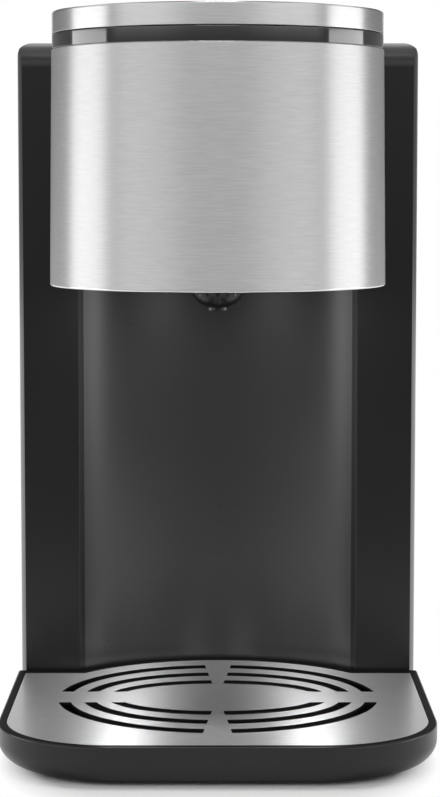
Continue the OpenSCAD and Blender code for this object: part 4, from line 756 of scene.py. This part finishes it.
def rounded_plan(half, y0, y1, front_r, back_r, z0, z1):
    bm = box(-half, half, y0, y1, z0, z1)
    middle = (y0 + y1) / 2
    if front_r:
        round_edges(bm, lambda e: upright(e) and middle_of(e).y < middle, front_r, 8)
    round_edges(bm, lambda e: upright(e) and middle_of(e).y > y1 - AT, back_r, 20)
    return bm


def cross_rod(x0, x1, r):
    """Rod along the hinge's axis."""
    bm = rod(0, 0, x0, x1, r, sides=64)
    return turn_shape(bm, Matrix.Translation((0, HINGE_Y, HINGE_Z)) @ Matrix.Rotation(math.pi / 2, 4, "Y"))


def tank_shape():
    low_roll, mouth_roll = 1.4, 0.4
    bm = rounded_plan(TANK_HALF, TANK_Y0, TANK_Y1, TANK_FRONT_R, TANK_BACK_R, TANK_Z, TANK_TOP)
    round_edges(bm, rim(TANK_Z, 30), low_roll, 4)
    inside = rounded_plan(TANK_HALF - TANK_WALL, TANK_Y0 + TANK_WALL, TANK_Y1 - TANK_WALL,
                          TANK_FRONT_R - TANK_WALL, TANK_BACK_R - TANK_WALL, TANK_FLOOR_TOP, TANK_TOP + PAST)
    bm = cut(bm, cut(inside, box(-FAR, FAR, BRIDGE_Y, FAR, TANK_TOP - BRIDGE_T, FAR)))
    bm = join(bm, rod(0, VALVE_Y, TANK_Z - SPOUT_LEN, TANK_Z + LAP, SPOUT_R))
    for x0 in (-EAR_X0 - EAR_W, EAR_X0):
        post = box(x0, x0 + EAR_W, HINGE_Y - HINGE_R, HINGE_Y + HINGE_R, TANK_TOP - LAP, HINGE_Z)
        bm = join(bm, join(post, cross_rod(x0, x0 + EAR_W, HINGE_R)))
    bm = cut(bm, rod(0, VALVE_Y, 0, TANK_FLOOR_TOP + PAST, SPOUT_BORE_R), cross_rod(-FAR, FAR, PIN_HOLE_R))
    return round_edges(bm, rim(TANK_TOP), mouth_roll, 2)


def lid_shape():
    edge_roll, grip_corner, grip_roll = 1.0, 2.5, 0.9
    bm = rounded_plan(TANK_HALF, TANK_Y0, TANK_Y1, TANK_FRONT_R, TANK_BACK_R, LID_Z, LID_TOP)
    bm = cut(bm, box(-FAR, FAR, LID_BACK_Y, FAR, 0, FAR))
    round_edges(bm, rim(LID_TOP), edge_roll, 4)
    grip = box(-GRIP_HALF, GRIP_HALF, GRIP_Y, GRIP_Y + GRIP_D, LID_TOP - LAP, GRIP_TOP)
    round_edges(grip, upright, grip_corner, 6)
    round_edges(grip, rim(GRIP_TOP), grip_roll, 4)
    arm = box(-BARREL_HALF, BARREL_HALF, LID_BACK_Y - LAP, HINGE_Y, LID_Z, LID_TOP)
    bm = join(bm, grip, join(arm, cross_rod(-BARREL_HALF, BARREL_HALF, HINGE_R)))
    return cut(bm, cross_rod(-FAR, FAR, PIN_HOLE_R))


def gland_place(degrees):
    turn = Matrix.Rotation(math.radians(degrees), 4, "X")
    return Matrix.Translation((GLAND_X, DOCK_Y1, GLAND_Z)) @ turn


def dock_shape():
    top_roll, seat_gap, seat_depth = 1.2, 0.05, 10.0
    at_top = rim(DOCK_TOP, 30)
    bm = rounded_plan(DOCK_HALF, DOCK_Y0, DOCK_Y1, 0, DOCK_BACK_R, TOWER_Z, DOCK_TOP)
    round_edges(bm, lambda e: at_top(e) and middle_of(e).y > DOCK_Y0 + ON_FACE, top_roll, 4)
    bm = cut(bm, rounded_plan(DOCK_HALF - WALL, DOCK_Y0 - LAP, DOCK_Y1 - WALL, 0, DOCK_BACK_R - WALL, -PAST,
                              DOCK_TOP - WALL))
    for x in (-DOCK_SCREW_X, DOCK_SCREW_X):
        bm = join(bm, rod(x, DOCK_SCREW_Y, BASE_TOP, DOCK_TOP - LAP, DOCK_POST_R, sides=48))
        bm = cut(bm, rod(x, DOCK_SCREW_Y, 0, BASE_TOP + DOCK_SCREW_LEN, DOCK_SCREW_R, sides=32))
    gland = turn_shape(rod(0, 0, -seat_depth, seat_depth, GLAND_R + seat_gap, sides=64), gland_place(90))
    return cut(bm, rod(0, VALVE_Y, -PAST, DOCK_TOP + PAST, CUP_HOLE_R), gland)


def gland_shape():
    collar_r, length = GLAND_R + GLAND_COLLAR, 14.0
    points = [(GLAND_BORE_R + 0.5, 1.6), (collar_r - 0.7, 1.6), (collar_r, 0.9), (collar_r, 0), (GLAND_R, 0),
              (GLAND_R, -length), (GLAND_BORE_R, -length), (GLAND_BORE_R, 1.1)]
    return turn_shape(lathe(points, steps=72), gland_place(-90))


def feet_shape():
    edge = 0.7
    points = [(0, 0), (FOOT_R - edge, 0), (FOOT_R, edge), (FOOT_R, FOOT_TOP), (0, FOOT_TOP)]
    return gather(*[lathe(points, x, y, steps=64) for x, y in FOOT_SPOTS])


piece("tank_body", tank_shape(), "tank", smoke_clear, ["water_tank"])
piece("tank_cover", lid_shape(), "lid", satin_black, ["tank_lid"])
piece("tank_shelf", dock_shape(), "housing", satin_black, ["tank_dock"])
piece("cord_grommet", gland_shape(), "housing", rubber, ["cord_gland"])
piece("feet", feet_shape(), "housing", rubber, ["rubber_feet"])


# Swept pieces

def sweep(points, r, sides_level, name, filled=True):
    """Round tube along points, in millimetres, as a mesh."""
    curve = bpy.data.curves.new(name, "CURVE")
    curve.dimensions = "3D"
    curve.bevel_depth = r
    curve.bevel_resolution = sides_level
    curve.use_fill_caps = filled
    spline = curve.splines.new("POLY")
    spline.points.add(len(points) - 1)
    for spot, p in zip(spline.points, points):
        spot.co = (*p, 1)
    holder = bpy.data.objects.new(name, curve)
    bpy.context.scene.collection.objects.link(holder)
    bm = evaluated(holder)
    bpy.data.objects.remove(holder)
    bpy.data.curves.remove(curve)
    bmesh.ops.remove_doubles(bm, verts=bm.verts, dist=MERGE)
    return bm


def spring_points():
    turn_steps = 28
    steps = COIL_TURNS * turn_steps
    spots = []
    for i in range(steps + 1):
        t = i / steps
        a = 2 * math.pi * COIL_TURNS * t
        height = COIL_Z0 + t * (COIL_Z1 - COIL_Z0)
        spots.append((COIL_R * math.cos(a), VALVE_Y + COIL_R * math.sin(a), height))
    return spots


def smooth_route(route, steps=8):
    """Points of a smooth curve through the route's own points."""
    p = [Vector(spot) for spot in route]
    p = [2 * p[0] - p[1]] + p + [2 * p[-1] - p[-2]]
    spots = []
    for a, b, c, d in zip(p, p[1:], p[2:], p[3:]):
        for k in range(steps):
            t = k / steps
            spots.append(b + 0.5 * t * (c - a + t * (2 * a - 5 * b + 4 * c - d + t * (3 * (b - c) + d - a))))
    return spots + [p[-2]]


def hose_shape(route, name):
    bm = sweep(smooth_route(route), HOSE_R, 6, name, filled=False)
    bmesh.ops.recalc_face_normals(bm, faces=bm.faces)
    bmesh.ops.solidify(bm, geom=bm.faces, thickness=HOSE_WALL)
    return bm


inlet_route = [
    (0, DOCK_SPIGOT_Y + HOSE_LAP, DOCK_SPIGOT_Z),
    (0, DOCK_SPIGOT_Y, DOCK_SPIGOT_Z),
    (0, (DOCK_SPIGOT_Y + COVER_Y - HOSE_BEND) / 2, DOCK_SPIGOT_Z),
    (0, COVER_Y - HOSE_BEND, DOCK_SPIGOT_Z),
    (2.25 * HOSE_BEND, FLOW_Y + 1.75 * HOSE_BEND, DOCK_SPIGOT_Z),
    (PUMP_X - 6.5 * HOSE_BEND, FLOW_Y + 0.25 * HOSE_BEND, DOCK_SPIGOT_Z),
    (PUMP_X - 2.25 * HOSE_BEND, FLOW_Y, DOCK_SPIGOT_Z + 0.75 * HOSE_BEND),
    (PUMP_X - 0.25 * HOSE_BEND, FLOW_Y, PUMP_INLET_Z - 3.5 * HOSE_BEND),
    (PUMP_X, FLOW_Y, PUMP_INLET_Z - 1.75 * HOSE_BEND),
    (PUMP_X, FLOW_Y, PUMP_INLET_Z),
    (PUMP_X, FLOW_Y, PUMP_INLET_Z + HOSE_LAP),
]
outlet_route = [
    (-HEATER_X, FLOW_Y, HEATER_OUTLET_Z - HOSE_LAP),
    (-HEATER_X, FLOW_Y, HEATER_OUTLET_Z),
    (-HEATER_X, FLOW_Y, HEATER_OUTLET_Z + HOSE_BEND),
    (3 * HOSE_BEND - HEATER_X, FLOW_Y - HOSE_BEND, HEATER_OUTLET_Z + 3.5 * HOSE_BEND),
    (-4 * HOSE_BEND, FLOW_Y - 4.5 * HOSE_BEND, CHAMBER_SPIGOT_Z + 4.5 * HOSE_BEND),
    (-HOSE_BEND, FLOW_Y - 10 * HOSE_BEND, CHAMBER_SPIGOT_Z + 1.5 * HOSE_BEND),
    (0, CHAMBER_SPIGOT_Y + 3.5 * HOSE_BEND, CHAMBER_SPIGOT_Z),
    (0, CHAMBER_SPIGOT_Y, CHAMBER_SPIGOT_Z),
    (0, CHAMBER_SPIGOT_Y - HOSE_LAP, CHAMBER_SPIGOT_Z),
]
piece("valve_coil", sweep(spring_points(), WIRE_R, 3, "valve_coil"), "tank", zinc_steel,
      ["valve_spring"])
piece("hose_in", hose_shape(inlet_route, "hose_in"), "housing", silicone, ["inlet_hose"])
piece("hose_out", hose_shape(outlet_route, "hose_out"), "housing", silicone, ["outlet_hose"])


# Finishes of the solids that keep their shape
SOLID_FINISH = {
    "satin_black": satin_black, "gloss_black": gloss_black, "brushed_steel": plate_steel,
    "steel_cap": cap_steel, "inner_plastic": inner_grey, "white_plastic": white_part, "rubber": rubber,
    "silicone": silicone, "clear_tank": smoke_clear, "display_lens": lens_black, "float_red": float_red,
    "board_green": board_green, "screw_steel": zinc_steel,
}
slot_of = {row["node"]: row["material_slot"] for row in frame["record"]["subparts"]}
for node_name, solid in frame["nodes"].items():
    finish = SOLID_FINISH[slot_of[node_name]]
    for place in solid.material_slots:
        place.material = finish


# Floor, backdrop, lights and camera

def stage_material(name):
    """White stage: it glows from the far distance on, and shows the lamps' light and shadow near the object.

    The distance is taken from the middle of the tray's corners, and the sides count for more than the front.
    Well before the object, the glow fades to grey."""
    near, far, side_share = 0.058, 0.084, 1.75
    grey_y, white_y, grey = -0.46, -0.25, 0.27
    core = ((TRAY_HALF - TRAY_CORNER_R) * MM, (-TRAY_FRONT_Y - TRAY_CORNER_R) * MM, 0)
    material, nodes, links = new_material(name)
    nodes.remove(nodes["Principled BSDF"])
    place = nodes.new("ShaderNodeTexCoord").outputs["Object"]

    def math_step(kind, operation, first, second=None):
        step = nodes.new(kind)
        step.operation = operation
        links.new(first, step.inputs[0])
        if isinstance(second, bpy.types.NodeSocket):
            links.new(second, step.inputs[1])
        elif second:
            step.inputs[1].default_value = second
        return step

    path = nodes.new("ShaderNodeLightPath")
    seen = path.outputs["Is Camera Ray"]
    for ray in ("Is Glossy Ray", "Is Transmission Ray"):
        seen = math_step("ShaderNodeMath", "MAXIMUM", seen, path.outputs[ray]).outputs[0]
    spot = place
    for operation, amount in (("ABSOLUTE", None), ("SUBTRACT", core), ("MAXIMUM", (0, 0, 0)),
                              ("MULTIPLY", (side_share, 1, 0))):
        spot = math_step("ShaderNodeVectorMath", operation, spot, amount).outputs["Vector"]
    glow = nodes.new("ShaderNodeMapRange")
    glow.inputs["From Min"].default_value = near
    glow.inputs["From Max"].default_value = far
    links.new(math_step("ShaderNodeVectorMath", "LENGTH", spot).outputs["Value"], glow.inputs["Value"])
    share = math_step("ShaderNodeMath", "MULTIPLY", seen, glow.outputs["Result"])
    parts = nodes.new("ShaderNodeSeparateXYZ")
    links.new(place, parts.inputs["Vector"])
    fade = nodes.new("ShaderNodeMapRange")
    fade.inputs["From Min"].default_value = grey_y
    fade.inputs["From Max"].default_value = white_y
    fade.inputs["To Min"].default_value = grey
    links.new(parts.outputs["Y"], fade.inputs["Value"])
    white = nodes.new("ShaderNodeEmission")
    links.new(fade.outputs["Result"], white.inputs["Strength"])
    matt = nodes.new("ShaderNodeBsdfDiffuse")
    matt.inputs["Color"].default_value = (0.9, 0.9, 0.9, 1)
    mix = nodes.new("ShaderNodeMixShader")
    links.new(share.outputs[0], mix.inputs["Fac"])
    links.new(matt.outputs["BSDF"], mix.inputs[1])
    links.new(white.outputs["Emission"], mix.inputs[2])
    links.new(mix.outputs["Shader"], nodes["Material Output"].inputs["Surface"])
    return material


def plane(name, middle, width, length, tilt, material):
    bm = bmesh.new()
    size = Matrix.Diagonal((width, length, 1, 1))
    matrix = Matrix.Translation(middle) @ Matrix.Rotation(tilt, 4, "X") @ size
    bmesh.ops.create_grid(bm, x_segments=1, y_segments=1, size=0.5, matrix=matrix)
    obj = as_object(bm, name)
    obj.data.materials.append(material)


stage_white = stage_material("stage_white")
plane("floor", middle=(0, 0.1, 0), width=6.0, length=6.2, tilt=0, material=stage_white)
plane("backdrop", middle=(0, 3.2, 1.2), width=2.0, length=2.4, tilt=math.pi / 2, material=stage_white)


def area_light(name, place, target, width, height, radiance):
    light = bpy.data.lights.new(name, "AREA")
    light.shape = "RECTANGLE"
    light.size = width
    light.size_y = height
    light.energy = radiance * math.pi * width * height
    obj = bpy.data.objects.new(name, light)
    obj.rotation_euler = (target - place).to_track_quat("-Z", "Y").to_euler()
    obj.location = place
    bpy.context.scene.collection.objects.link(obj)


# Lamps: place, target, width, height and radiance. One that stands off the middle has a twin on the left.
LAMPS = {
    "strip": ((0.993, 0.062, 0.20), (0, -0.06, 0.20), 0.65, 0.34, 3.0),
    "sky": ((0.95, 0.2, 1.3), (0, 0, 0.05), 0.6, 0.9, 0.8),
    "back_top": ((0, 0.9, 1.2), (0, 0, 0.3), 0.6, 0.8, 0.9),
    "front_top": ((0, -0.19, 0.62), (0, -0.146, 0), 0.12, 0.08, 9.0),
    "bay": ((0.046, -0.085, 0.19), (0.046, -0.085, 0.0), 0.022, 0.06, 20.0),
    "shoulder": ((0.085, 0.01, 0.36), (0.085, 0.01, 0.0), 0.03, 0.14, 1.5),
}
for name, (place, target, width, height, radiance) in LAMPS.items():
    for side, ending in ((-1, "_left"), (1, "_right")) if place[0] else ((1, ""),):
        twin = Vector((side, 1, 1))
        area_light(name + ending, twin * Vector(place), twin * Vector(target), width, height, radiance)

# Surroundings: grey walls by direction, from front at 0 to back at 1. A calm grey takes a share of them, from
# below at 0 to above at 1: all of it about the level of the eye and at the ceiling.
WALL_GREY = [(0.0, 1.10), (0.02, 1.20), (0.06, 1.85), (0.12, 2.6), (0.34, 2.55), (0.40, 0.6), (0.80, 0.3),
             (0.86, 0.06), (1.0, 0.06)]
CALM_SHARE = [(0.0, 0.5), (0.30, 0.3), (0.38, 0.8), (0.42, 1.0), (0.52, 1.0), (0.58, 0.2), (0.70, 0.1),
              (0.82, 0.8), (1.0, 1.0)]
CALM_GREY = [(0.0, 0.27), (0.86, 0.27), (0.94, 0.12), (1.0, 0.12)]
DIFFUSE_SHARE = 0.45
world = bpy.data.worlds.new("surroundings")
bpy.context.scene.world = world
world.use_nodes = True
nodes, links = world.node_tree.nodes, world.node_tree.links
walls = nodes["Background"]
calm = nodes.new("ShaderNodeBackground")
rays = nodes.new("ShaderNodeLightPath")
dimmed = nodes.new("ShaderNodeMapRange")
dimmed.inputs["To Min"].default_value = 1.0
dimmed.inputs["To Max"].default_value = DIFFUSE_SHARE
links.new(rays.outputs["Is Diffuse Ray"], dimmed.inputs["Value"])
for wall in (walls, calm):
    links.new(dimmed.outputs["Result"], wall.inputs["Strength"])
both = nodes.new("ShaderNodeMixShader")
links.new(walls.outputs["Background"], both.inputs[1])
links.new(calm.outputs["Background"], both.inputs[2])
links.new(both.outputs["Shader"], nodes["World Output"].inputs["Surface"])
direction = nodes.new("ShaderNodeTexCoord")
parts = nodes.new("ShaderNodeSeparateXYZ")
links.new(direction.outputs["Generated"], parts.inputs["Vector"])
for axis, stops, socket in (("Y", WALL_GREY, walls.inputs["Color"]), ("Z", CALM_GREY, calm.inputs["Color"]),
                            ("Z", CALM_SHARE, both.inputs["Fac"])):
    share = nodes.new("ShaderNodeMapRange")
    share.inputs["From Min"].default_value = -1.0
    ramp = nodes.new("ShaderNodeValToRGB")
    while len(ramp.color_ramp.elements) < len(stops):
        ramp.color_ramp.elements.new(0.5)
    for stop, (position, grey) in zip(ramp.color_ramp.elements, stops):
        stop.position = position
        stop.color = (grey, grey, grey, 1)
    links.new(parts.outputs[axis], share.inputs["Value"])
    links.new(share.outputs["Result"], ramp.inputs["Fac"])
    links.new(ramp.outputs["Color"], socket)

camera_data = bpy.data.cameras.new("camera")
camera_data.sensor_width = 36.0
camera_data.lens = 105.63
camera = bpy.data.objects.new("camera", camera_data)
camera.location = (0.00096, -1.0462, 0.2365)
camera.rotation_euler = (math.radians(84.635), 0, 0)
bpy.context.scene.collection.objects.link(camera)
bpy.context.scene.camera = camera
bpy.context.scene.view_settings.view_transform = "Standard"
